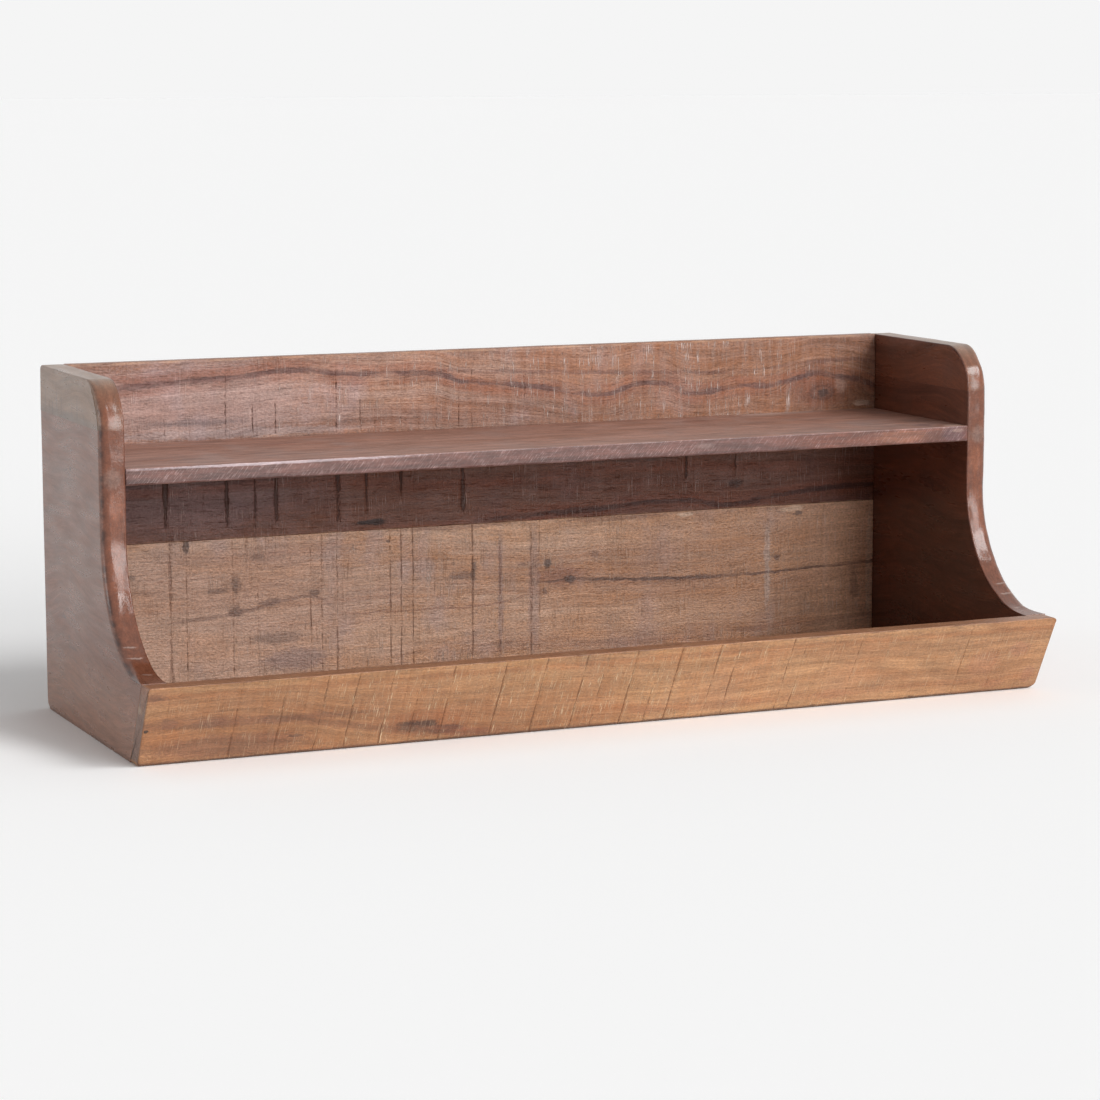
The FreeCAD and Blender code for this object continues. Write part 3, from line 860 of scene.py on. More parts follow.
@dataclass
class Section:
    """A board's four-cornered cross-section in Y and Z, with rounded arrises.

    A point is its base plus, for each corner, the arris's size there times its pull. Sides follow the
    corners in order, and the first side is the show face.
    """

    corners: np.ndarray
    rows: tuple[int, int, int, int]
    steps: int = 3
    base: np.ndarray = field(init=False)
    pull: np.ndarray = field(init=False)
    inward: np.ndarray = field(init=False)
    side: np.ndarray = field(init=False)
    arris: np.ndarray = field(init=False)

    def __post_init__(self) -> None:
        """Lay the points of each corner's curve and then of the side that follows it.

        A corner's curve is the parabola that leaves both sides one size from the corner.
        """
        ahead = np.roll(self.corners, -1, axis=0) - self.corners
        ahead /= np.linalg.norm(ahead, axis=1, keepdims=True)
        middle = self.corners.mean(0)
        normals = np.stack([-ahead[:, 1], ahead[:, 0]], -1)
        towards = np.einsum("ij,ij->i", middle - self.corners, normals)
        normals *= np.sign(towards)[:, None]
        bases, pulls, inwards, sides, arrises = [], [], [], [], []
        for corner, rows in enumerate(self.rows):
            back, following = corner - 1, (corner + 1) % 4
            t = np.linspace(0, 1, self.steps + 1)
            pull = np.zeros((len(t), 4, 2))
            pull[:, corner] = ((1 - t) ** 2)[:, None] * -ahead[back] + (t**2)[:, None] * ahead[corner]
            turn = (1 - t)[:, None] * normals[back] + t[:, None] * normals[corner]
            bases.append(np.broadcast_to(self.corners[corner], (len(t), 2)))
            pulls.append(pull)
            inwards.append(turn)
            sides.append(np.where(t < 0.5, back % 4, corner))
            arrises.append(np.sin(np.pi * (0.2 + 0.6 * t)))
            t = inside(rows, 0.006)
            pull = np.zeros((len(t), 4, 2))
            pull[:, corner] = (1 - t)[:, None] * ahead[corner]
            pull[:, following] = -t[:, None] * ahead[corner]
            bases.append(self.corners[corner] + t[:, None] * (self.corners[following] - self.corners[corner]))
            pulls.append(pull)
            inwards.append(np.broadcast_to(normals[corner], (len(t), 2)))
            sides.append(np.full(len(t), corner))
            arrises.append(np.zeros(len(t)))
        self.base = np.concatenate(bases)
        self.pull = np.concatenate(pulls)
        self.inward = np.concatenate(inwards)
        self.side = np.concatenate(sides)
        self.arris = np.concatenate(arrises)


SHOW, FOLLOWING, REVERSE = range(3)

# The shape of a saw cut: lengths in millimetres, and places and half widths as shares of its own width.
CUT_STATIONS = np.array([-0.6, -0.3, 0, 0.3, 0.6, 1.0, 1.6])
STATION_GRID = 0.25
CUT_WAVER = 0.35
CUT_STEP = 17
CUT_FADE = 8
GROOVE_HALF = 0.42
GROOVE_STEP = 14
GROOVE_BREAK = 0.28
DIRT_AND_SHADE_HALF = 0.4
TORN_MIDDLE = 0.9
TORN_HALF = 1.1
TORN_STEP = 11
TORN_BREAK = 0.25
# The slant of the saw's strokes starts this far from a board's ends, and takes this far to grow.
SLANT_START = 3
SLANT_GROWTH = 20
# Wear and unevenness of a board: steps and wavelengths in millimetres, the rest as shares.
ARRIS_STEP = 23
ARRIS_WEAR = 0.12
ARRIS_CUT = 0.4
SWELL_LENGTH = 70
COMB_STEP = 3.1
COMB_SHARE = 0.35
# How far a vein bends the grain beside it, in millimetres. A blotch with a rim harder than this is a knot,
# and bends the grain by this share over these multiples of its half sizes.
VEIN_REACH = 45
KNOT_RIM = 0.4
KNOT_BEND = 0.8
KNOT_ALONG = 4
KNOT_ACROSS = 3


@dataclass
class StraightBoard:
    """A board with its grain along X: a rounded section carried from end to end, and its saw marks cut in.

    Across is the place up a standing board or forwards on a lying one.
    """

    name: str
    node: str
    slot: str
    finish: WoodFinish
    corners: np.ndarray
    arrises: tuple[float, float, float, float]
    rows: tuple[int, int, int, int] = (24, 2, 10, 2)
    step: float = 2.2
    end_round: float = 0.8
    ends: tuple[float, float, float, float] = (0.0, 0.0, 0.0, 0.0)
    cuts: tuple[Cut, ...] = ()
    lean: float = 0.0
    rough: float = 0.12
    torn: tuple[tuple[float, float], ...] = ((0, 0), (1, 0))
    torn_from: float = -math.inf
    seed: int = 1
    length: tuple[float, float] = field(init=False)

    def __post_init__(self) -> None:
        """Measure the node along X."""
        span = Span.of(self.node)
        self.length = float(span.low[0]), float(span.high[0])

    def stations(self) -> tuple[np.ndarray, np.ndarray]:
        """Choose where the section stands: close together at the saw cuts and in the rounded ends.

        Returns:
            The places along X and how far the section draws in there.
        """
        start, stop = self.length
        even = np.arange(start + 2 * self.step, stop - 2 * self.step, self.step)
        fine = [cut.along + cut.width * CUT_STATIONS for cut in self.cuts]
        reach = max(self.ends)
        bends = reach * (1 - np.cos(quarter(6)[1:])) if reach else np.zeros(0)
        inner = np.concatenate([even, *fine, start + self.end_round + bends, stop - self.end_round - bends])
        clear = 1.2 * self.end_round
        inner = inner[(inner > start + clear) & (inner < stop - clear)]
        inner = np.unique(np.round(inner / STATION_GRID) * STATION_GRID)
        turn = quarter(3)
        away = self.end_round * (1 - np.sin(turn))
        drawn = self.end_round * (1 - np.cos(turn))
        cap = [1.6 * self.end_round]
        along = np.concatenate([[start], start + away[::-1], inner, stop - away, [stop]])
        inset = np.concatenate([cap, drawn[::-1], np.zeros(len(inner)), drawn, cap])
        return along, inset

    def saw(self, along: np.ndarray, across: np.ndarray) -> tuple[np.ndarray, np.ndarray, np.ndarray]:
        """Work out the saw cuts: a groove with one steep side, its dirt with painted shade, and a torn band
        beside it.

        Each is a bell curve about the cut's line, which wavers a little, and comes and goes along it.

        Args:
            along, across: The points' places on the show face.

        Returns:
            The depth to cut away in millimetres, the dirt and the tearing, from 0 to 1.
        """
        depth, groove_dirt_and_shade, torn = (np.zeros(along.shape) for _ in range(3))
        for number, cut in enumerate(self.cuts):
            seed = 1000 * self.seed + number
            line = cut.along + CUT_WAVER * wander(across, CUT_STEP, seed)
            away = (along - line) / cut.width
            bounds = np.clip((across - cut.low) / CUT_FADE, 0, 1)
            bounds = bounds * np.clip((cut.high - across) / CUT_FADE, 0, 1)
            here = bounds * (1 - GROOVE_BREAK + GROOVE_BREAK * wander(across, GROOVE_STEP, seed + 500))
            depth = np.maximum(depth, cut.depth * np.exp(-((away / GROOVE_HALF) ** 2)) * here)
            # The dark in the groove: dirt with painted shade.
            groove_soil_and_shade = np.minimum(1, 1.5 * cut.depth) * np.exp(-((away / DIRT_AND_SHADE_HALF) ** 2))
            groove_dirt_and_shade = np.maximum(groove_dirt_and_shade, groove_soil_and_shade * here)
            band = cut.torn * np.exp(-(((away - TORN_MIDDLE) / TORN_HALF) ** 4)) * bounds
            broken = 1 - TORN_BREAK + TORN_BREAK * wander(across, TORN_STEP, seed + 700)
            torn = np.maximum(torn, band * broken)
        return depth, np.clip(groove_dirt_and_shade, 0, 1), np.clip(torn, 0, 1)

    def place(self, points: np.ndarray) -> tuple[np.ndarray, np.ndarray]:
        """Turn places in Y and Z into places across the board, along its show face, and into it."""
        first, second = self.corners[0], self.corners[1]
        way = (second - first) / np.linalg.norm(second - first)
        offset = points - first
        origin = first[1] if abs(way[1]) > 0.5 else REAR - first[0]
        heading = 1 if (way[1] if abs(way[1]) > 0.5 else -way[0]) > 0 else -1
        return origin + heading * offset @ way, offset @ np.array([-way[1], way[0]])

    def flow(self, along: np.ndarray, across: np.ndarray) -> np.ndarray:
        """Bend the grain along the first vein and round the knots, fading away from them."""
        bend = np.zeros(along.shape)
        if self.finish.streaks:
            points = self.finish.streaks[0].points
            line = flowing(points, along)
            middle = float(np.mean([height for _, height in points]))
            bend -= (line - middle) * np.exp(-(((across - line) / VEIN_REACH) ** 2))
        for blotch in self.finish.blotches:
            if blotch.soft < KNOT_RIM:
                off_along = (along - blotch.along) / (KNOT_ALONG * blotch.length)
                off_across = (across - blotch.across) / (KNOT_ACROSS * blotch.height)
                bend -= KNOT_BEND * (across - blotch.across) * np.exp(-(off_along**2) - off_across**2)
        return bend

    def hollows(self, along: np.ndarray, points: np.ndarray, side: np.ndarray) -> np.ndarray:
        """Depth of any recess let into the board, none on a plain one."""
        return np.zeros(along.shape)

    def build(self, effects: Effects) -> bpy.types.Object:
        """Carry the section along the board, cut it and dress it.

        Args:
            effects: The shared effects.

        Returns:
            The finished piece.
        """
        section = Section(self.corners, self.rows)
        x, inset = self.stations()
        wear = np.stack([wander(x, ARRIS_STEP, 10 * self.seed + corner) for corner in range(4)], -1)
        sizes = np.array(self.arrises) * (1 + ARRIS_WEAR * (1 + wear))
        flat = section.base + np.einsum("nc,mcd->nmd", sizes, section.pull)
        stroke = np.broadcast_to(x[:, None], flat.shape[:2])
        across, into = self.place(flat)
        nearest = np.minimum(x - self.length[0], self.length[1] - x)
        free = np.clip((nearest - SLANT_START) / SLANT_GROWTH, 0, 1)
        along = stroke + self.lean * (across - across.mean()) * free[:, None]
        depth, groove_dirt_and_shade, torn = self.saw(stroke, across)
        show = (section.side == SHOW) & (section.arris < 0.9)
        reverse = section.side == REVERSE
        soft = np.where(show, 1.0, np.where(section.arris > 0, ARRIS_CUT, 0.0))
        uneven = self.rough * (1 + swell(along, across, SWELL_LENGTH, self.seed)) / 2
        combed = COMB_SHARE * self.rough * (1 + wander(along, COMB_STEP, self.seed + 40)) * (show | reverse)
        cut_in = depth * soft + uneven + combed + self.hollows(along, flat, section.side) + inset[:, None]
        flat = self.end_corners(flat, x) + cut_in[..., None] * section.inward
        skin = Skin(np.concatenate([along[..., None], flat], -1))
        skin.mark(BOARD, joined(along, across, into))
        skin.mark(FLOW, self.flow(along, across))
        skin.mark(CUT, groove_dirt_and_shade * soft)
        evenly = flowing(self.torn, along) * (across > self.torn_from)
        skin.mark(TORN, np.maximum(torn * soft, evenly * show))
        turned = (inset > 0) & (inset <= self.end_round)
        skin.mark(ARRIS, np.maximum(section.arris, turned[:, None] * 0.7))
        skin.mark(FRONT, (section.side == FOLLOWING)[None, :].astype(float))
        skin.mark(OUTER, (inset >= self.end_round)[:, None].astype(float))
        skin.mark(STROKE, stroke)
        skin.mark(EDGE, joined(along, into, 0.0))
        for number, streak in enumerate(self.finish.streaks):
            skin.mark(STREAK.format(number), flowing(streak.points, along))
        return mounted(skin.piece(self.name), self.node, self.finish.material(effects))

    def end_corners(self, flat: np.ndarray, x: np.ndarray) -> np.ndarray:
        """Round the outline's corners at both ends: a quarter circle takes the edges in towards the middle.

        Args:
            flat: The section's points in Y and Z at each station.
            x: The stations.

        Returns:
            The points, drawn in along the show face.
        """
        if not max(self.ends):
            return flat
        first, second = self.corners[0], self.corners[1]
        run = second - first
        share = ((flat - first) @ run) / (run @ run)
        height = np.linalg.norm(run)
        near = (x - self.length[0], x - self.length[0], self.length[1] - x, self.length[1] - x)
        drop = [
            radius - np.sqrt(np.clip(radius**2 - np.clip(radius - away, 0, None) ** 2, 0, None))
            for radius, away in zip(self.ends, near)
        ]
        moved = (drop[0] + drop[2])[:, None] * (1 - share) - (drop[1] + drop[3])[:, None] * share
        return flat + (moved / height)[..., None] * run


def strokes(low: float, high: float, *rows: tuple[float, float, float, float]) -> tuple[Cut, ...]:
    """Turn rows of place, width, depth and tearing into saw cuts between two heights."""
    return tuple(Cut(*row, low=low, high=high) for row in rows)


def spots(tone: Colour, soft: float, *rows: tuple[float, float, float, float, float]) -> tuple[Blotch, ...]:
    """Turn rows of middle, half sizes and strength into blotches of one tone and softness."""
    return tuple(Blotch(*row[:4], tone, row[4], soft) for row in rows)


NAIL_SPOT = tint(46, 36, 34)
FLECK = tint(84, 70, 68)
NICK = tint(196, 176, 166)
REAR_NAILS = (-300, -150, 0, 150, 300)

MAIN_VEIN = (
    (-420, 262), (-294, 269), (-233, 272), (-181, 276), (-144, 272), (-86, 269), (-51, 268), (-34, 262),
    (3, 258), (56, 251), (93, 244), (111, 244), (140, 252), (168, 250), (186, 243), (243, 246), (281, 246),
    (301, 251), (316, 254), (345, 250), (420, 230),
)
JOINT_VEIN = (
    (-420, 126), (-120, 128), (-60, 131), (0, 138), (100, 142), (200, 143), (228, 138), (260, 142),
    (320, 148), (420, 150),
)

UPPER_BACK = WoodFinish(
    name="upper_back_wood",
    dark=tint(114, 79, 64),
    body=tint(150, 111, 90),
    pale=tint(188, 161, 150),
    seed=130.0,
    lines=5,
    figure=0.14,
    warm=tint(144, 86, 50),
    warm_share=0.4,
    cool=tint(160, 139, 141),
    cool_share=0.45,
    roughness=(0.32, 0.46),
    hatch=0.3,
    torn_tone=tint(214, 194, 186),
    torn_share=0.75,
    haze_share=0.12,
    groove_tone=tint(62, 34, 24),
    groove_share=0.9,
    relief=0.9,
    ior=1.28,
    pimple=0.9,
    painted_relief_shade=0.2,
    streaks=(
        Streak(MAIN_VEIN, 12, tint(124, 68, 44), 0.6),
        Streak(MAIN_VEIN, 3.0, tint(66, 42, 44), 0.72),
        Streak(
            ((-60, 272), (1, 268), (93, 264), (168, 261), (231, 259), (293, 263), (343, 266), (420, 258)),
            2.4,
            tint(84, 48, 40),
            0.6,
        ),
        Streak(
            ((-440, 172), (-200, 180), (0, 170), (150, 178), (280, 170), (440, 176)),
            6,
            tint(112, 60, 42),
            0.45,
        ),
        Streak(
            ((-440, 190), (-250, 184), (-60, 194), (120, 186), (300, 192), (440, 184)),
            4,
            tint(50, 30, 28),
            0.5,
        ),
        Streak(JOINT_VEIN, 9, tint(104, 56, 40), 0.6),
        Streak(JOINT_VEIN, 3, tint(56, 32, 28), 0.8),
    ),
    blotches=(
        # A dark band under the shelf: darker heartwood, with painted shade from the shelf above laid into it.
        Blotch(0, 156, 900, 44, tint(84, 42, 28), 0.78, 0.42),
        # A painted sheen: a pale lavender patch at the upper left.
        Blotch(-280, 254, 130, 34, tint(166, 146, 146), 0.4, 0.8),
        Blotch(-300, 178, 130, 40, tint(124, 106, 110), 0.35, 0.9),
        Blotch(230, 250, 200, 50, tint(136, 84, 46), 0.5, 0.8),
        Blotch(325, 238, 30, 14, tint(112, 62, 42), 0.65, 0.8),
        Blotch(325, 237, 14, 8, tint(76, 44, 36), 0.6, 0.39),
        Blotch(325, 237, 9, 5, tint(136, 90, 70), 0.5, 0.39),
        Blotch(326, 236, 6, 3, tint(50, 34, 32), 0.8, 0.8),
        Blotch(345, 246, 7, 10, tint(190, 160, 146), 0.4, 0.8),
        Blotch(366, 225, 10, 3, tint(200, 170, 152), 0.6, 0.8),
        Blotch(-266, 235, 42, 3, tint(98, 84, 86), 0.45, 0.8),
        Blotch(-114, 142, 14, 2.5, tint(40, 32, 32), 0.85, 0.7),
        Blotch(-250, 225, 130, 4, tint(150, 134, 132), 0.5, 0.7),
        Blotch(238, 158, 8, 4, tint(44, 30, 28), 0.6, 0.8),
        *spots(NAIL_SPOT, 0.5, *((place, 213, 1.6, 1.6, 0.9) for place in REAR_NAILS)),
    ),
)

UPPER_CUTS = (
    # The cuts under the shelf go deeper, so they come out darker: dirt with painted shade from the shelf.
    *strokes(
        140,
        208,
        (-298, 7, 0.9, 0.2), (-276, 3, 0.35, 0.1), (-265, 3, 0.3, 0.1), (-244, 5, 0.8, 0.2),
        (-219, 4, 0.6, 0.2), (-200, 7, 0.9, 0.3), (-144, 8, 0.95, 0.3), (-118, 4, 0.6, 0.2),
        (-28, 6.5, 0.8, 0.2),
    ),
    *strokes(158, 208, (-86, 3.5, 0.95, 0.1), (188, 4, 0.6, 0.4), (237, 4, 0.6, 0.3), (-172, 3, 0.4, 0.2)),
    *strokes(
        215,
        254,
        (-342, 2, 0.2, 0.6), (-320, 2, 0.2, 0.6), (-298, 2.5, 0.35, 0.8), (-286, 2, 0.2, 0.6),
        (-276, 2, 0.3, 0.7), (-265, 1.6, 0.25, 0.6), (-256, 2, 0.15, 0.7), (-220, 2, 0.4, 0.9),
        (-210, 2, 0.2, 0.8), (-200, 2.5, 0.5, 1.0), (-190, 2, 0.2, 0.9), (-181, 2, 0.2, 0.8),
        (-123, 2, 0.4, 0.9), (-110, 2, 0.35, 0.8), (-98, 2, 0.2, 0.8), (-86, 1.6, 0.3, 0.8),
        (-70, 2, 0.2, 0.8),
    ),
    *strokes(
        215,
        280,
        (-244, 2.2, 0.4, 0.9), (-172, 4, 0.2, 0.9), (-145, 2.5, 0.38, 1.0), (-135, 2, 0.2, 0.8),
        (-53, 3, 0.25, 0.8), (-32, 2, 0.34, 0.9), (-20, 2, 0.3, 0.8), (-6, 2, 0.2, 0.7),
    ),
    *strokes(
        212,
        290,
        (10, 3, 0.2, 0.8), (30, 6, 0.25, 1.0), (52, 4, 0.2, 0.8), (60, 3, 0.2, 0.7), (67, 3, 0.2, 0.9),
        (95, 6, 0.25, 1.0), (113, 3, 0.2, 0.9), (124, 4, 0.2, 0.9), (145, 5, 0.25, 1.0),
        (160, 3, 0.2, 0.9), (170, 3, 0.2, 0.9), (190, 2, 0.2, 0.8), (196, 3, 0.2, 0.9),
        (207, 3, 0.2, 0.8), (215, 3, 0.2, 0.9), (238, 3, 0.2, 0.8), (246, 3, 0.2, 0.9),
        (257, 2, 0.2, 0.8), (267, 3, 0.2, 0.9), (287, 3, 0.2, 0.9), (294, 2, 0.2, 0.9),
        (314, 3, 0.2, 0.8), (338, 3, 0.1, 0.7), (352, 3, 0.1, 0.6),
    ),
    *strokes(
        150,
        208,
        (30, 6, 0.2, 0.5), (95, 6, 0.2, 0.5), (145, 5, 0.2, 0.5), (196, 3, 0.2, 0.4),
        (246, 3, 0.2, 0.4),
    ),
)

LOWER_BACK = WoodFinish(
    name="lower_back_wood",
    dark=tint(156, 112, 86),
    body=tint(190, 150, 122),
    pale=tint(212, 180, 158),
    seed=420.0,
    lines=6,
    figure=0.14,
    warm=tint(182, 126, 80),
    warm_share=0.45,
    cool=tint(166, 142, 138),
    cool_share=0.5,
    roughness=(0.34, 0.5),
    hatch=0.5,
    torn_tone=tint(224, 204, 192),
    torn_share=0.6,
    haze_share=0.15,
    groove_tone=tint(112, 76, 60),
    groove_share=0.55,
    relief=1.0,
    pimple=1.8,
    painted_relief_shade=0.22,
    streaks=(
        Streak(
            ((40, 79), (76, 80), (140, 76), (180, 74.5), (220, 73.5), (270, 74), (320, 76), (420, 80)),
            1.8,
            tint(70, 42, 34),
            0.8,
        ),
        Streak(
            ((-300, 66), (-260, 68), (-222, 73), (-190, 80), (-165, 80), (-140, 62)),
            2.5,
            tint(96, 66, 56),
            0.5,
        ),
        Streak(((-150, 64), (-100, 63), (-40, 62), (0, 63), (40, 70)), 1.2, tint(120, 78, 58), 0.6),
        Streak(((-60, 22), (0, 22), (140, 20), (420, 30)), 3, tint(140, 96, 74), 0.4),
    ),
    blotches=(
        Blotch(-250, 75, 150, 80, tint(172, 140, 128), 0.35, 0.8),
        # Painted light: a pale patch near the right end, lifting the shade cast by the end board.
        Blotch(356, 66, 40, 90, tint(232, 182, 150), 0.75, 0.9),
        Blotch(250, 75, 190, 80, tint(160, 112, 80), 0.45, 0.8),
        Blotch(-237, 94, 4, 8, tint(78, 56, 48), 0.65, 0.9),
        Blotch(-252, 91, 12, 3, tint(104, 78, 66), 0.6, 0.8),
        Blotch(-238, 72, 7, 5, tint(84, 62, 54), 0.6, 0.8),
        Blotch(-208, 78, 12, 3, tint(90, 64, 54), 0.6, 0.8),
        Blotch(-166, 84, 5, 2, tint(76, 54, 46), 0.6, 0.7),
        Blotch(-218, 118, 6, 3, tint(96, 70, 60), 0.5, 0.8),
        Blotch(-281, 130, 2.5, 7, tint(60, 44, 40), 0.75, 0.7),
        Blotch(-329, 107, 5, 2, tint(86, 62, 54), 0.6, 0.7),
        Blotch(-200, 47, 26, 6, tint(112, 92, 84), 0.5, 0.8),
        Blotch(-185, 27, 30, 10, tint(116, 96, 98), 0.5, 0.8),
        Blotch(-19, 93, 3, 10, tint(66, 46, 40), 0.7, 0.8),
        Blotch(-30, 90, 12, 3, tint(92, 68, 60), 0.6, 0.8),
        Blotch(65, 84, 24, 9, tint(132, 80, 58), 0.6, 0.8),
        Blotch(52, 95, 4, 4, tint(56, 38, 34), 0.8, 0.6),
        Blotch(74, 80, 5, 4, tint(60, 38, 32), 0.8, 0.6),
        Blotch(49, 70, 3, 3, tint(84, 58, 50), 0.6, 0.7),
        Blotch(27, 97, 5, 2.5, tint(100, 72, 62), 0.6, 0.7),
        Blotch(98, 101, 5, 3.5, tint(108, 76, 62), 0.5, 0.7),
        Blotch(-98, 124, 2.5, 2, tint(72, 52, 44), 0.7, 0.6),
        Blotch(198, 74, 38, 2.5, tint(92, 58, 46), 0.6, 0.8),
        Blotch(280, 87, 4, 2.5, tint(76, 50, 42), 0.7, 0.5),
        Blotch(302, 127, 5, 2, tint(70, 48, 42), 0.7, 0.5),
        Blotch(360, 58, 5, 16, tint(110, 80, 66), 0.4, 0.8),
        Blotch(6.5, 70, 2.5, 60, tint(140, 116, 112), 0.5, 0.8),
        Blotch(39, 70, 6, 60, tint(140, 116, 112), 0.45, 0.8),
        Blotch(270, 80, 3, 40, tint(178, 160, 152), 0.5, 0.7),
        Blotch(376, 74, 3.5, 60, tint(206, 174, 152), 0.6, 0.5),
        Blotch(187, 132, 8, 2, tint(204, 176, 154), 0.7, 0.5),
        Blotch(295, 131, 12, 2.5, tint(200, 170, 146), 0.6, 0.5),
        Blotch(-40, 134, 60, 3, tint(120, 80, 60), 0.6, 0.6),
        Blotch(120, 133, 50, 3, tint(124, 84, 62), 0.6, 0.6),
        *spots(NAIL_SPOT, 0.5, *((place, 7, 1.6, 1.6, 0.9) for place in REAR_NAILS)),
    ),
)

LOWER_CUTS = strokes(
    -10,
    140,
    (-360, 2, 0.15, 0.4), (-330, 2, 0.2, 0.4), (-295, 4, 0.5, 0.5), (-281, 1.6, 0.35, 0.3),
    (-262, 2, 0.1, 0.4), (-240, 2, 0.4, 0.4), (-218, 2, 0.3, 0.4), (-195, 2, 0.1, 0.4),
    (-170, 1.8, 0.45, 0.5), (-160, 1.8, 0.4, 0.6), (-146, 2, 0.5, 0.6), (-133, 3, 0.15, 0.7),
    (-120, 3, 0.15, 0.8), (-108, 3, 0.2, 0.8), (-97, 1.8, 0.5, 0.7), (-87, 1.8, 0.45, 0.7),
    (-76, 1.8, 0.5, 0.7), (-64, 3, 0.15, 0.8), (-52, 3, 0.15, 0.7), (-40, 3, 0.2, 0.7),
    (-20, 2, 0.6, 0.6), (-12, 3, 0.2, 0.7), (6, 3, 0.45, 0.6), (16, 3, 0.2, 0.7), (36, 4, 0.4, 0.5),
    (44, 2, 0.4, 0.5), (102, 2, 0.15, 0.5), (126, 2, 0.1, 0.4), (150, 2, 0.15, 0.6), (188, 3, 0.2, 0.6),
    (205, 2, 0.15, 0.6), (232, 3, 0.2, 0.6), (270, 4, 0.25, 0.8), (285, 2, 0.1, 0.5),
    (300, 2, 0.2, 0.5), (328, 3, 0.25, 0.7), (340, 2, 0.1, 0.5), (352, 2, 0.25, 0.6),
)

RAIL = WoodFinish(
    name="rail_wood",
    dark=tint(134, 87, 52),
    body=tint(168, 123, 82),
    pale=tint(198, 158, 120),
    seed=770.0,
    lines=6,
    sway=22,
    growth=0.2,
    warm=tint(148, 88, 50),
    warm_share=0.45,
    cool=tint(160, 126, 100),
    cool_share=0.3,
    figure=0.16,
    roughness=(0.34, 0.48),
    hatch=0.4,
    torn_tone=tint(226, 196, 160),
    torn_share=0.65,
    haze_share=0.1,
    groove_tone=tint(104, 64, 38),
    groove_share=0.6,
    pimple=1.4,
    painted_relief_shade=0.16,
    wear_and_shade_tone=tint(98, 62, 42),
    wear_and_shade_share=0.7,
    front_tone=tint(143, 97, 72),
    front_share=0.75,
    outer_tone=tint(112, 90, 82),
    outer_share=0.8,
    relief=0.7,
    streaks=(
        Streak(
            ((-440, 38), (-330, 40), (-280, 34), (-220, 22), (-150, 10), (-90, 4)),
            5,
            tint(112, 72, 52),
            0.55,
        ),
        Streak(((0, 15), (60, 12), (160, 12), (260, 14), (440, 14)), 4, tint(150, 100, 68), 0.4),
    ),
    blotches=(
        Blotch(240, 34, 240, 60, tint(190, 148, 110), 0.2, 0.9),
        Blotch(0, 66, 900, 3, tint(146, 92, 56), 0.45, 0.9),
        Blotch(-240, 30, 220, 50, tint(138, 92, 60), 0.55, 0.8),
        Blotch(-330, 14, 70, 12, tint(112, 72, 54), 0.7, 0.8),
        Blotch(-300, 36, 90, 4, tint(104, 66, 48), 0.65, 0.8),
        Blotch(-168, 20, 40, 14, tint(136, 80, 48), 0.6, 0.8),
        Blotch(-174, 18, 18, 5.5, tint(58, 28, 22), 0.95, 0.6),
        Blotch(-150, 12, 18, 5, tint(80, 38, 26), 0.9, 0.7),
        Blotch(-128, 7, 20, 4, tint(124, 70, 46), 0.7, 0.7),
        # A dark line along the foot of the rail: dirt and a painted contact shadow.
        Blotch(0, 0.6, 900, 1.6, tint(66, 42, 30), 0.7, 0.9),
        Blotch(-275, 18, 7, 1.5, tint(84, 54, 42), 0.75, 0.5),
        Blotch(-380, 40, 8, 5, tint(112, 76, 60), 0.6, 0.6),
        Blotch(-345, 38, 14, 5, tint(110, 74, 58), 0.6, 0.6),
        Blotch(-393, 66, 8, 4, tint(92, 62, 50), 0.6, 0.9),
        Blotch(-397, 34, 2, 1.5, tint(40, 26, 22), 0.95, 0.4),
        Blotch(340, 32, 16, 14, tint(160, 110, 80), 0.6, 0.6),
        Blotch(372, 45, 10, 8, tint(156, 106, 80), 0.55, 0.6),
        Blotch(355, 9, 12, 5, tint(150, 98, 70), 0.5, 0.6),
        Blotch(388, 16, 6, 9, tint(146, 98, 76), 0.5, 0.6),
        Blotch(25, 13, 12, 5, tint(158, 106, 74), 0.5, 0.6),
        Blotch(200, 13, 18, 5, tint(160, 110, 80), 0.45, 0.6),
    ),
)

RAIL_CUTS = strokes(
    -50,
    120,
    (-383, 2.5, 0.3, 0.3), (-355, 1.6, 0.2, 0.5), (-327, 2, 0.4, 0.6), (-308, 1.6, 0.2, 0.6),
    (-290, 2, 0.45, 0.8), (-272, 1.6, 0.2, 0.7), (-257, 2, 0.5, 0.9), (-245, 1.6, 0.2, 0.7),
    (-232, 2, 0.5, 0.9), (-217, 1.6, 0.2, 0.8), (-203, 2, 0.5, 1.0), (-190, 1.6, 0.2, 0.8),
    (-178, 2, 0.4, 0.9), (-165, 1.6, 0.2, 0.8), (-152, 2, 0.5, 1.0), (-130, 1.6, 0.25, 0.9),
    (-108, 2.2, 0.6, 1.0), (-90, 1.6, 0.25, 0.9), (-73, 2.2, 0.55, 1.0), (-56, 1.6, 0.25, 0.9),
    (-38, 2.2, 0.55, 1.0), (-20, 2, 0.4, 0.9), (6, 2, 0.5, 1.0), (28, 2, 0.4, 0.9),
    (46, 2.2, 0.65, 1.0), (64, 1.6, 0.25, 0.8), (81, 2, 0.5, 1.0), (98, 2, 0.5, 0.9),
    (122, 1.6, 0.25, 0.8), (148, 2, 0.45, 0.9), (160, 2, 0.4, 0.9), (185, 1.6, 0.25, 0.7),
    (212, 2, 0.45, 0.8), (240, 1.6, 0.2, 0.6), (262, 1.6, 0.2, 0.6), (290, 1.6, 0.2, 0.5),
    (317, 2, 0.4, 0.6), (350, 1.6, 0.2, 0.4), (378, 1.6, 0.2, 0.4),
)

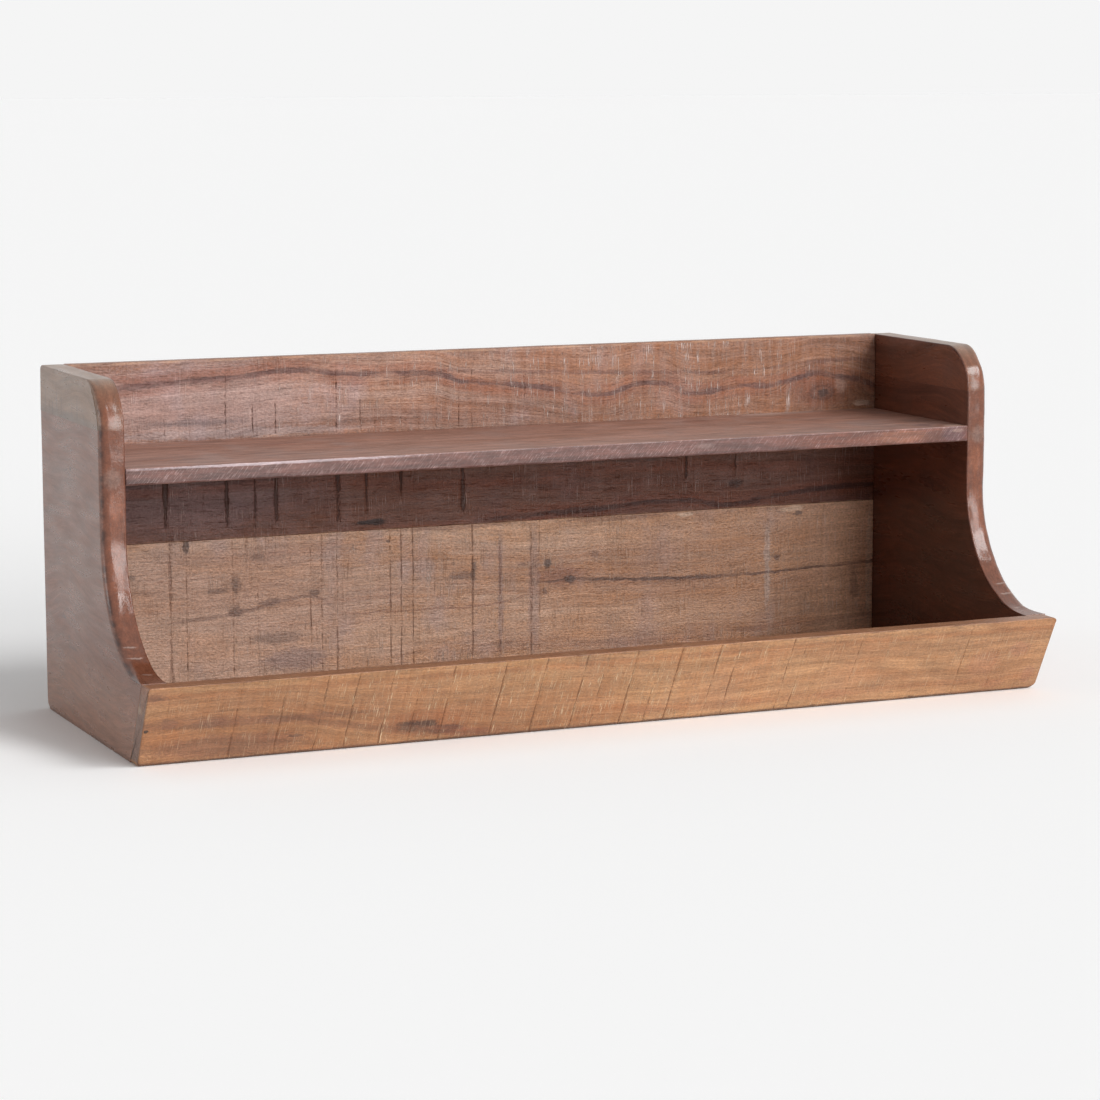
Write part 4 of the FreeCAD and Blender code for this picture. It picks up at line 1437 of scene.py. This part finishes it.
SHELF = WoodFinish(
    name="shelf_wood",
    dark=tint(127, 89, 75),
    body=tint(147, 107, 93),
    pale=tint(164, 126, 112),
    seed=55.0,
    lines=5,
    sway=16,
    growth=0.3,
    roughness=(0.4, 0.54),
    groove_tone=tint(66, 44, 38),
    torn_share=0.3,
    figure=0.3,
    wear_and_shade_tone=tint(186, 158, 154),
    wear_and_shade_share=0.2,
    front_tone=tint(86, 50, 44),
    front_share=0.88,
    front_gloss=0.1,
    edge_hatch=0.4,
    warm=tint(130, 84, 64),
    warm_share=0.5,
    cool=tint(140, 118, 112),
    cool_share=0.4,
    pimple=0.5,
    blotches=(
        Blotch(50, 70, 16, 8, tint(112, 74, 58), 0.5, 0.7),
        Blotch(40, 110, 40, 20, tint(128, 84, 64), 0.4, 0.8),
        Blotch(-215, 60, 16, 14, tint(128, 80, 66), 0.4, 0.8),
        Blotch(180, 50, 14, 14, tint(110, 68, 56), 0.4, 0.8),
        Blotch(275, 18, 40, 10, tint(178, 160, 152), 0.4, 0.8),
        Blotch(345, 160, 9, 8, tint(84, 56, 56), 0.6, 0.6),
        Blotch(370, 170, 10, 6, tint(196, 172, 158), 0.5, 0.6),
    ),
    edge_blotches=(
        # A painted highlight: a pale line along the top arris at the left.
        Blotch(-260, 1.5, 120, 1.2, tint(206, 190, 194), 0.5, 0.8),
        Blotch(0, 12, 900, 3, tint(70, 36, 29), 0.6, 0.8),
        Blotch(125, 6, 9, 2.5, tint(132, 112, 106), 0.4, 0.9),
        Blotch(290, 7, 90, 9, tint(102, 54, 36), 0.8, 0.7),
        Blotch(315, 7, 26, 6, tint(140, 88, 62), 0.5, 0.8),
        Blotch(366, 7, 12, 7, tint(84, 56, 58), 0.7, 0.6),
        Blotch(370, 4, 6, 1.6, tint(160, 130, 116), 0.4, 0.9),
    ),
)

TRAY_FLOOR = WoodFinish(
    name="bottom_wood",
    dark=tint(112, 76, 58),
    body=tint(146, 104, 80),
    pale=tint(168, 126, 100),
    seed=910.0,
    hatch=0.4,
)

END_PANEL = WoodFinish(
    name="end_wood",
    dark=tint(80, 44, 33),
    body=tint(106, 61, 45),
    pale=tint(126, 78, 60),
    seed=260.0,
    lines=9,
    sway=36,
    growth=0.25,
    figure=0.18,
    warm=tint(120, 64, 40),
    warm_share=0.4,
    cool=tint(86, 56, 48),
    cool_share=0.35,
    roughness=(0.25, 0.36),
    outer_hatch=0.1,
    torn_share=0.0,
    groove_tone=tint(44, 28, 24),
    pore=0.12,
    # Painted shade: the outer round of the front edge is darkened where it turns away from the light.
    wear_and_shade_tone=tint(54, 31, 25),
    wear_and_shade_share=1.0,
    front_tone=tint(104, 60, 42),
    front_share=0.85,
    front_gloss=0.14,
    outer_tone=tint(128, 88, 70),
    outer_share=0.62,
    pimple=0.5,
    edge_blotches=(
        Blotch(212, 9, 8, 8, tint(122, 98, 88), 0.5, 0.9),
        Blotch(190, 12, 12, 6, tint(140, 84, 58), 0.5, 0.8),
        *spots(NICK, 0.8, (85.5, 9, 0.6, 5, 0.35), (78.5, 10, 0.5, 6, 0.35), (69.5, 12, 0.3, 4, 0.3)),
        Blotch(145, 10, 30, 6, tint(132, 78, 54), 0.4, 0.8),
    ),
    outer_blotches=(
        *spots(NAIL_SPOT, 0.5, (88, 211, 1.6, 1.6, 0.9), (149, 216, 1.4, 1.8, 0.8), (26, 213, 1.4, 1.4, 0.7)),
        *spots(
            FLECK,
            0.7,
            (58, 86, 7, 1.3, 0.7), (68, 143, 3, 1.5, 0.6), (135, 189, 2, 1.2, 0.6),
            (125, 178, 1.6, 2.4, 0.6), (73, 72, 3, 1.5, 0.6), (85, 64, 13, 1.0, 0.6), (92, 54, 4, 1.4, 0.5),
            (128, 27, 4, 1.8, 0.6), (146, 26, 6, 1.6, 0.6), (110, 30, 3, 1.4, 0.5),
        ),
        Blotch(225, 32, 18, 4, tint(112, 84, 74), 0.5, 0.8),
        Blotch(100, 120, 60, 40, tint(124, 88, 72), 0.4, 0.9),
        Blotch(60, 200, 40, 24, tint(118, 94, 85), 0.4, 0.9),
        # Painted light: the outer face is made lighter towards its foot, where it reflects the floor's
        # shadow.
        Blotch(130, 10, 220, 50, tint(156, 116, 96), 0.65, 0.9),
        *spots(NAIL_SPOT, 0.5, (6, 30, 1.4, 1.4, 0.6), (6, 95, 1.4, 1.4, 0.6)),
    ),
)

END_STRIP = replace(
    END_PANEL,
    name="strip_wood",
    dark=tint(80, 45, 34),
    body=tint(106, 62, 46),
    pale=tint(128, 80, 62),
    seed=610.0,
    lines=5,
    sway=20,
    growth=0.3,
    figure=0.14,
    warm=tint(124, 70, 46),
    cool=tint(92, 66, 58),
    outer_hatch=0.7,
    groove_tone=tint(52, 38, 34),
    # Painted shade: the strip's outer round is darkened where it turns away from the light.
    wear_and_shade_tone=tint(60, 36, 28),
    front_tone=tint(110, 66, 46),
    outer_tone=tint(140, 114, 93),
    outer_share=0.72,
    edge_blotches=(Blotch(262, 8, 8, 5, tint(120, 66, 44), 0.5, 0.8),),
    outer_blotches=(
        Blotch(80, 251, 120, 6, tint(98, 82, 72), 0.6, 0.8),
        *spots(FLECK, 0.7, (97, 256, 1.0, 8, 0.7), (52, 262, 1.2, 9, 0.6), (38, 256, 1.0, 7, 0.6)),
        *spots(FLECK, 0.8, (27, 255, 1.2, 5, 0.45), (73, 255, 1.0, 6, 0.45), (131, 255, 1.4, 5, 0.4)),
        *spots(FLECK, 0.9, (16, 262, 2.0, 10, 0.35), (66, 259, 2.4, 11, 0.3), (112, 260, 2.2, 12, 0.35)),
    ),
)


@dataclass
class UpperBack(StraightBoard):
    """The upper board of the back, with the pockets behind the keyhole plates let into its rear."""

    pocket_half: float = 4.8
    pocket_depth: float = 7.0
    pocket_places: tuple[float, float] = (-372.0, 372.0)
    pocket_heights: tuple[float, float] = (259.4, 265.0)

    def stations(self) -> tuple[np.ndarray, np.ndarray]:
        """Stand the section closer together at the pockets."""
        along, inset = super().stations()
        near = np.linspace(-1.3, 1.3, 13) * self.pocket_half
        extra = np.concatenate([place + near for place in self.pocket_places])
        apart = np.abs(extra[:, None] - along).min(axis=1)
        extra = extra[(np.abs(extra) < self.length[1] - 2) & (apart > 0.2)]
        everywhere = np.concatenate([along, extra])
        order = np.argsort(everywhere, kind="stable")
        return everywhere[order], np.concatenate([inset, np.zeros(len(extra))])[order]

    def hollows(self, along: np.ndarray, points: np.ndarray, side: np.ndarray) -> np.ndarray:
        """Sink an upright slot with round ends into the rear: full depth within its half width."""
        total = np.zeros(along.shape)
        for place in self.pocket_places:
            nearest = np.clip(points[..., 1], *self.pocket_heights)
            away = np.hypot(along - place, points[..., 1] - nearest)
            total += self.pocket_depth * (away < self.pocket_half)
        return total * (side == REVERSE)


def standing(node: str) -> np.ndarray:
    """Corners of an upright board's section, its front face first, from the bottom up."""
    span = Span.of(node)
    (front, low), (rear, high) = span.low[1:], span.high[1:]
    return np.array([(front, low), (front, high), (rear, high), (rear, low)])


def lying(node: str) -> np.ndarray:
    """Corners of a flat board's section, its top face first, from the rear forwards."""
    span = Span.of(node)
    (front, low), (rear, high) = span.low[1:], span.high[1:]
    return np.array([(rear, high), (front, high), (front, low), (rear, low)])


@dataclass
class Lean:
    """The lean of the front: how far forward it comes for each millimetre up, and the rail's thickness."""

    foot: float = field(init=False)
    tip: float = field(init=False)
    height: float = field(init=False)
    slope: float = field(init=False)
    level_thickness: float = 19.95

    def __post_init__(self) -> None:
        """Work the lean out from the tray floor's front edge, which lies on it, and the end board's tip."""
        floor, end, rail = (Span.of(node) for node in ("bottom_board", "left_end_board", "front_rail"))
        self.height = float(rail.high[2])
        self.tip = REAR - float(end.low[1])
        self.slope = (self.tip - (REAR - float(floor.low[1]))) / (self.height - float(floor.high[2]))
        self.foot = self.tip - self.slope * self.height


@dataclass
class Carcase:
    """The straight boards: back, shelf, tray floor and rail."""

    lean: Lean = field(default_factory=Lean)

    def boards(self) -> list[StraightBoard]:
        """Set out the five boards."""
        lean = self.lean
        floor = lying("bottom_board")
        floor[2, 0] = REAR - lean.foot
        rail = np.array(
            [
                (REAR - lean.foot - lean.level_thickness, 0),
                (REAR - lean.tip - lean.level_thickness, lean.height),
                (REAR - lean.tip, lean.height),
                (REAR - lean.foot, 0),
            ]
        )
        return [
            UpperBack(
                name="upper_back",
                node="upper_back_board",
                slot="upper_back_wood",
                finish=UPPER_BACK,
                corners=standing("upper_back_board"),
                arrises=(0.5, 1.4, 1.2, 0.5),
                rows=(30, 2, 40, 2),
                cuts=UPPER_CUTS,
                torn=((-380, 0.2), (-250, 0.35), (-130, 0.55), (40, 0.65), (320, 0.6), (380, 0.3)),
                torn_from=210,
                seed=3,
            ),
            StraightBoard(
                name="lower_back",
                node="lower_back_board",
                slot="lower_back_wood",
                finish=LOWER_BACK,
                corners=standing("lower_back_board"),
                arrises=(0.8, 0.6, 0.5, 0.8),
                rows=(26, 2, 10, 2),
                cuts=LOWER_CUTS,
                torn=((-380, 0.25), (-180, 0.3), (-60, 0.4), (40, 0.3), (380, 0.25)),
                seed=5,
            ),
            StraightBoard(
                name="shelf",
                node="upper_shelf",
                slot="shelf_wood",
                finish=SHELF,
                corners=lying("upper_shelf"),
                arrises=(0.5, 1.1, 1.6, 0.5),
                rows=(24, 6, 12, 2),
                step=3,
                rough=0.2,
                seed=7,
            ),
            StraightBoard(
                name="tray_floor",
                node="bottom_board",
                slot="bottom_wood",
                finish=TRAY_FLOOR,
                corners=floor,
                arrises=(0.5, 0.5, 0.5, 0.5),
                rows=(24, 2, 12, 2),
                step=4,
                seed=9,
            ),
            StraightBoard(
                name="front_board",
                node="front_rail",
                slot="rail_wood",
                finish=RAIL,
                corners=rail,
                arrises=(3.0, 1.3, 1.2, 1.0),
                rows=(24, 4, 10, 4),
                ends=(2.5, 2.0, 6.0, 4.5),
                cuts=RAIL_CUTS,
                lean=0.04,
                rough=0.2,
                torn=((-400, 0.25), (-330, 0.45), (-150, 0.62), (120, 0.6), (220, 0.4), (400, 0.25)),
                seed=11,
            ),
        ]

    def build(self, effects: Effects) -> None:
        """Make the five boards."""
        for board in self.boards():
            board.build(effects)


# The columns of an end panel's section, in order.
SHARES = ("thick", "outer", "inner", "rear", "draw_outer", "draw_inner", "off", "way", "arris", "front")


@dataclass
class EndPanel:
    """One swooped end: a main board and the strip glued along its top, rounded along the front and top.

    Both are the same surface: a section across the thickness, carried along the outline. Each row of the
    faces runs from the outline to a far edge, the rear of the board or the foot of the strip.
    """

    side: Side
    lean: Lean
    outer_round: float = 7.0
    top_rounding: float = 0.2
    inner_round: float = 1.1
    rear_round: float = 0.8
    glue_line: float = 0.12
    rear_corner: float = 8.0
    top_rear_corner: float = 5.0
    waver: float = 0.8
    waver_step: float = 26
    ripple: float = 0.25
    ripple_step: float = 9
    facet: float = 0.5
    facet_length: float = 24
    planed: float = 0.12
    planed_length: float = 90
    grain_bend: float = 9
    grain_length: float = 160
    least_rounding: float = 0.06
    rounding_run: float = 30
    joint_ring: float = 0.04
    columns: int = 34
    seed: int = 21

    @property
    def word(self) -> str:
        """The end's name."""
        return self.side.name.lower()

    def section(self) -> np.ndarray:
        """Lay the section's points as shares of its sizes.

        Returns:
            A row for each point: shares of the thickness, the outer, inner and rear rounds in the place
            across the thickness; of the outer and inner rounds in the draw-in from the outline; of the rear
            round off the far edge; the share of the way to the outline; and the marks arris and front.
        """
        turn, wide = quarter(3), quarter(6)
        back = turn[::-1]
        even = inside(self.columns, 0.004)
        band = np.array([0.04, 0.2, 0.4, 0.6, 0.8, 0.96])
        rear = np.linspace(0, 1, 5)[1:-1]

        def rows(count: int, **shares: object) -> np.ndarray:
            """Stack named columns of shares, nothing where none is given."""
            columns = [np.broadcast_to(shares.get(name, 0.0), count) for name in SHARES]
            return np.stack(columns, -1).astype(float)

        curve, small = len(wide), len(turn)
        return np.concatenate(
            [
                rows(small, rear=1 - np.sin(turn), off=1 - np.cos(turn), draw_outer=1),
                rows(len(even), off=1, draw_outer=1, way=even),
                rows(
                    curve,
                    outer=1 - np.cos(wide),
                    draw_outer=1 - np.sin(wide),
                    way=1,
                    arris=np.exp(-(((wide - 0.65) / 0.3) ** 2)),
                    front=np.clip((wide - 0.4) / 0.4, 0, 1),
                ),
                rows(len(band), thick=band, outer=1 - band, inner=-band, way=1, front=1),
                rows(
                    small,
                    thick=1,
                    inner=np.cos(back) - 1,
                    draw_inner=1 - np.sin(back),
                    way=1,
                    front=np.sin(back) ** 2,
                ),
                rows(len(even), thick=1, off=1, draw_inner=1, way=even[::-1]),
                rows(small, thick=1, rear=np.sin(back) - 1, off=1 - np.cos(back), draw_inner=1),
                rows(len(rear), thick=1 - rear, rear=2 * rear - 1),
            ]
        )

    def carried(
        self, outline: np.ndarray, normal: np.ndarray, far: np.ndarray, rounding: np.ndarray, far_round: float
    ) -> Skin:
        """Carry the section along an outline.

        Args:
            outline: Points of depth and height along the shaped edge.
            normal: The way out of the wood at each.
            far: Where each point's row ends on the other side.
            rounding: How much of the arrises' rounds each point has.
            far_round: The arris along the far edge.

        Returns:
            The closed surface with its marks.
        """
        span = Span.of(f"{self.word}_end_board")
        outer = span.low[0] if self.side is Side.LEFT else span.high[0]
        thickness = span.high[0] - span.low[0]
        thick, by_outer, by_inner, by_rear, draw_outer, draw_inner, off, way, arris, front = self.section().T
        big = (self.outer_round * rounding)[:, None]
        small = (self.inner_round * (0.4 + 0.6 * rounding))[:, None]
        climb = outline[:, 1] - outline[:, 0]
        seed = self.seed + self.side.value
        shaped = self.waver * rounding * (1 + wander(climb, self.waver_step, seed)) / 2
        shaped += self.ripple * rounding * (1 + wander(climb, self.ripple_step, seed + 5)) / 2
        uneven = swell(climb[:, None], 40 * thick, self.facet_length, self.seed + 3)
        filed = self.facet * rounding[:, None] * (1 + uneven) / 2
        inset = big * draw_outer + small * draw_inner + shaped[:, None] + filed * (way == 1)
        edge = outline[:, None] - normal[:, None] * inset[..., None]
        run = edge - far[:, None]
        share = off * far_round / np.linalg.norm(run, axis=-1)
        flat = far[:, None] + run * (share + way * (1 - share))[..., None]
        within = thick * thickness + by_outer * big + by_inner * small + by_rear * far_round
        forward, up = flat[..., 0], flat[..., 1]
        uneven = self.planed * (1 + swell(forward, up, self.planed_length, self.seed + 9)) * (1 - 2 * thick)
        within = within + np.where(np.abs(thick - 0.5) > 0.49, uneven, 0)
        x = outer - self.side.value * within
        skin = Skin(joined(x, REAR - forward, up))
        skin.mark(BOARD, joined(forward, up, within))
        skin.mark(FLOW, self.grain_bend * swell(forward, up, self.grain_length, self.seed + 13))
        skin.mark(CUT, np.zeros((1, 1)))
        skin.mark(TORN, np.zeros((1, 1)))
        shown = np.clip((rounding - self.top_rounding) / (1 - self.top_rounding), 0, 1)[:, None]
        skin.mark(ARRIS, arris * shown)
        skin.mark(FRONT, front * shown)
        skin.mark(OUTER, (thick < 0.99).astype(float)[None, :])
        skin.mark(STROKE, forward)
        skin.mark(EDGE, joined(up, within, 0.0))
        return skin

    def main_board(self) -> Skin:
        """The main board: up the lean behind the rail, round the swoop, which is a quarter circle level at
        its tip and upright at its top, and straight up to the strip."""
        lean = self.lean
        board, strip = Span.of(f"{self.word}_end_board"), Span.of(f"{self.word}_end_top_strip")
        top = float(board.high[2])
        front = REAR - float(strip.low[1])
        radius = lean.tip - front
        rise = np.linspace(0, 1, 15)[:-1]
        leaning = joined(lean.foot + rise * lean.slope * lean.height, rise * lean.height)
        turn = quarter(84)
        swoop = joined(lean.tip - radius * np.sin(turn), lean.height + radius * (1 - np.cos(turn)))
        upright = np.linspace(lean.height + radius, top, 30)[1:]
        upright = np.insert(upright, -1, top - self.joint_ring)
        straight = joined(front, upright)
        outline = np.concatenate([leaning, swoop, straight])
        outward = np.array([1, -lean.slope]) / math.hypot(1, lean.slope)
        normal = np.concatenate(
            [
                np.broadcast_to(outward, leaning.shape),
                joined(np.sin(turn), np.cos(turn)),
                np.broadcast_to([1.0, 0.0], straight.shape),
            ]
        )
        path = distances(outline)
        level = (outline[:, 1] + top * path / path[-1]) / 2
        corner = self.rear_corner
        low = np.clip(corner - level, 0, None)
        far = joined(corner - np.sqrt(corner**2 - low**2), level)
        rounding = np.clip((path - path[len(leaning)]) / self.rounding_run, self.least_rounding, 1)
        return self.carried(outline, normal, far, rounding, self.rear_round)

    def top_strip(self) -> Skin:
        """The strip: up the rear, round its small corner, along the top and down the big quarter round."""
        strip = Span.of(f"{self.word}_end_top_strip")
        foot, top = float(strip.low[2]), float(strip.high[2])
        front = REAR - float(strip.low[1])
        small, big = self.top_rear_corner, top - foot
        turn = quarter(8)
        first = joined(small * (1 - np.cos(turn)), top - small * (1 - np.sin(turn)))
        along = np.linspace(small, front - big, 46)[1:-1]
        level = joined(along, top)
        sweep = quarter(48)
        sweep = np.insert(sweep, -1, sweep[-1] - self.joint_ring / big)
        last = joined(front - big * (1 - np.sin(sweep)), foot + big * np.cos(sweep))
        outline = np.concatenate([first, level, last])
        normal = np.concatenate(
            [
                joined(-np.cos(turn), np.sin(turn)),
                np.broadcast_to([0.0, 1.0], level.shape),
                joined(np.sin(sweep), np.cos(sweep)),
            ]
        )
        path = distances(outline)
        far = joined((front - 3 * self.outer_round) * path / path[-1], foot)
        growing = np.clip(sweep / (0.6 * sweep[-1]), 0, 1)
        growing = self.top_rounding + (1 - self.top_rounding) * growing**2 * (3 - 2 * growing)
        rounding = np.concatenate([np.full(len(first) + len(level), self.top_rounding), growing])
        return self.carried(outline, normal, far, rounding, self.glue_line)

    def build(self, board: Material, strip: Material) -> None:
        """Make both boards of the end.

        Args:
            board, strip: Their finishes.
        """
        word = self.word
        mounted(self.main_board().piece(f"{word}_end"), f"{word}_end_board", board)
        mounted(self.top_strip().piece(f"{word}_strip"), f"{word}_end_top_strip", strip)


@dataclass
class Fixings:
    """Nails, keyhole plates and their screws, which keep the shapes of the frame."""

    finishes: dict[str, SteelFinish] = field(
        default_factory=lambda: {
            "nail_steel": SteelFinish("nail_steel", tint(88, 84, 82), tint(150, 146, 142), 0.5, 0.4),
            "hanger_steel": SteelFinish("hanger_steel", tint(42, 42, 44), tint(140, 138, 134), 0.42, 0.35),
            "screw_steel": SteelFinish("screw_steel", tint(54, 54, 56), tint(160, 158, 154), 0.36, 0.5),
        }
    )

    def dress(self) -> None:
        """Give every steel node its finish."""
        ready = {slot: finish.material() for slot, finish in self.finishes.items()}
        for part in frame["record"]["subparts"]:
            material = ready.get(part["material_slot"])
            if material:
                mesh = frame["nodes"][part["node"]].data
                mesh.materials.clear()
                mesh.materials.append(material)
                LOG.info("%s: dressed in %s", part["node"], material.name)


@dataclass(frozen=True)
class Lamp:
    """A broad far lamp: its power on a face square to it, its degrees to the right of the front and above
    the floor, and how broad it looks, in degrees."""

    name: str
    strength: float
    turn: float
    height: float
    angle: float

    def hang(self) -> None:
        """Hang the lamp."""
        light = bpy.data.lights.new(self.name, "SUN")
        light.energy = self.strength
        light.angle = math.radians(self.angle)
        lamp = bpy.data.objects.new(self.name, light)
        round_by, up = math.radians(self.turn), math.radians(self.height)
        place = Vector((math.sin(round_by) * math.cos(up), -math.cos(round_by) * math.cos(up), math.sin(up)))
        lamp.rotation_euler = place.to_track_quat("Z", "Y").to_euler()
        lamp.location = 3 * place
        bpy.context.scene.collection.objects.link(lamp)


@dataclass
class Studio:
    """A pale floor without a horizon, soft light from the front right, and the camera."""

    backdrop: float = 0.913
    dome: float = 0.44
    dome_slant: float = 0.6
    lamps: tuple[Lamp, ...] = (
        Lamp("key", 1.5, 40.0, 40.0, 24.0),
        Lamp("low", 1.74, 18.0, 15.0, 32.0),
        Lamp("side", 0.6, -100.0, 5.0, 30.0),
        Lamp("card", 0.2, 13.0, -8.0, 10.0),
    )
    floor_half: float = 60.0
    camera_place: tuple[float, float, float] = (-1.0949, -2.49595, 0.5274)
    yaw: float = 23.59
    pitch: float = -8.32
    roll: float = -0.104
    lens: float = 107.37
    sensor: float = 36.0
    sight: float = 500.0

    def floor(self) -> None:
        """Lay a wide level floor, of the tone that the light on it turns into the backdrop's."""
        half = self.floor_half
        falling = sum(lamp.strength * max(0, math.sin(math.radians(lamp.height))) for lamp in self.lamps)
        tone = self.backdrop / (self.dome + falling / math.pi)
        mesh = bpy.data.meshes.new("floor")
        corners = [(-half, -half, 0), (half, -half, 0), (half, half, 0), (-half, half, 0)]
        mesh.from_pydata(corners, [], [(0, 1, 2, 3)])
        sheet = bpy.data.objects.new("floor", mesh)
        bpy.context.scene.collection.objects.link(sheet)
        sheet.visible_shadow = False
        material = bpy.data.materials.new("floor")
        material.use_nodes = True
        shader = material.node_tree.nodes["Principled BSDF"]
        shader.inputs["Base Color"].default_value = (tone, tone, tone, 1)
        shader.inputs["Roughness"].default_value = 1.0
        shader.inputs["Specular IOR Level"].default_value = 0.0
        mesh.materials.append(material)

    def sky(self) -> None:
        """Light from all round, more from the right, which the camera and reflections see as the backdrop."""
        world = bpy.data.worlds.new("studio")
        world.use_nodes = True
        world.node_tree.nodes.clear()
        wiring = Wiring(world.node_tree)
        path = wiring.add("LightPath").outputs
        seen = wiring.maths("MAXIMUM", path["Is Camera Ray"], path["Is Glossy Ray"])
        seen = wiring.maths("MAXIMUM", seen, path["Is Transmission Ray"])
        right, _, up = wiring.add("SeparateXYZ", {0: wiring.add("TexCoord").outputs["Generated"]}).outputs
        slant = wiring.maths("MULTIPLY_ADD", right, self.dome * self.dome_slant, self.dome)
        slant = wiring.maths("MULTIPLY", slant, wiring.maths("GREATER_THAN", up, 0.0))
        strength = wiring.add("Mix", {0: seen, 2: slant, 3: self.backdrop}).outputs[0]
        light = wiring.add("Background", {"Color": (1, 1, 1, 1), "Strength": strength})
        wiring.add("OutputWorld", {"Surface": light.outputs[0]})
        bpy.context.scene.world = world

    def camera(self) -> None:
        """Stand the camera where the picture was taken: turned right, tipped down, and rolled a trace."""
        data = bpy.data.cameras.new("camera")
        data.lens = self.lens
        data.sensor_width = self.sensor
        data.clip_end = self.sight
        camera = bpy.data.objects.new("camera", data)
        turned = Matrix.Rotation(-math.radians(self.yaw), 4, "Z")
        tipped = Matrix.Rotation(math.radians(90 + self.pitch), 4, "X")
        rolled = Matrix.Rotation(math.radians(self.roll), 4, "Z")
        camera.matrix_world = Matrix.Translation(self.camera_place) @ turned @ tipped @ rolled
        bpy.context.scene.collection.objects.link(camera)
        bpy.context.scene.camera = camera

    def build(self) -> None:
        """Set the studio up."""
        bpy.context.scene.view_settings.view_transform = "Standard"
        self.floor()
        self.sky()
        for lamp in self.lamps:
            lamp.hang()
        self.camera()


def main() -> None:
    """Build the carcase, the two ends, the fixings and the studio."""
    logging.basicConfig(level=logging.INFO, format="%(name)s %(message)s")
    effects = Effects()
    carcase = Carcase()
    carcase.build(effects)
    board, strip = END_PANEL.material(effects), END_STRIP.material(effects)
    for side in Side:
        EndPanel(side, carcase.lean).build(board, strip)
    Fixings().dress()
    Studio().build()


if __name__ == "__main__":
    main()
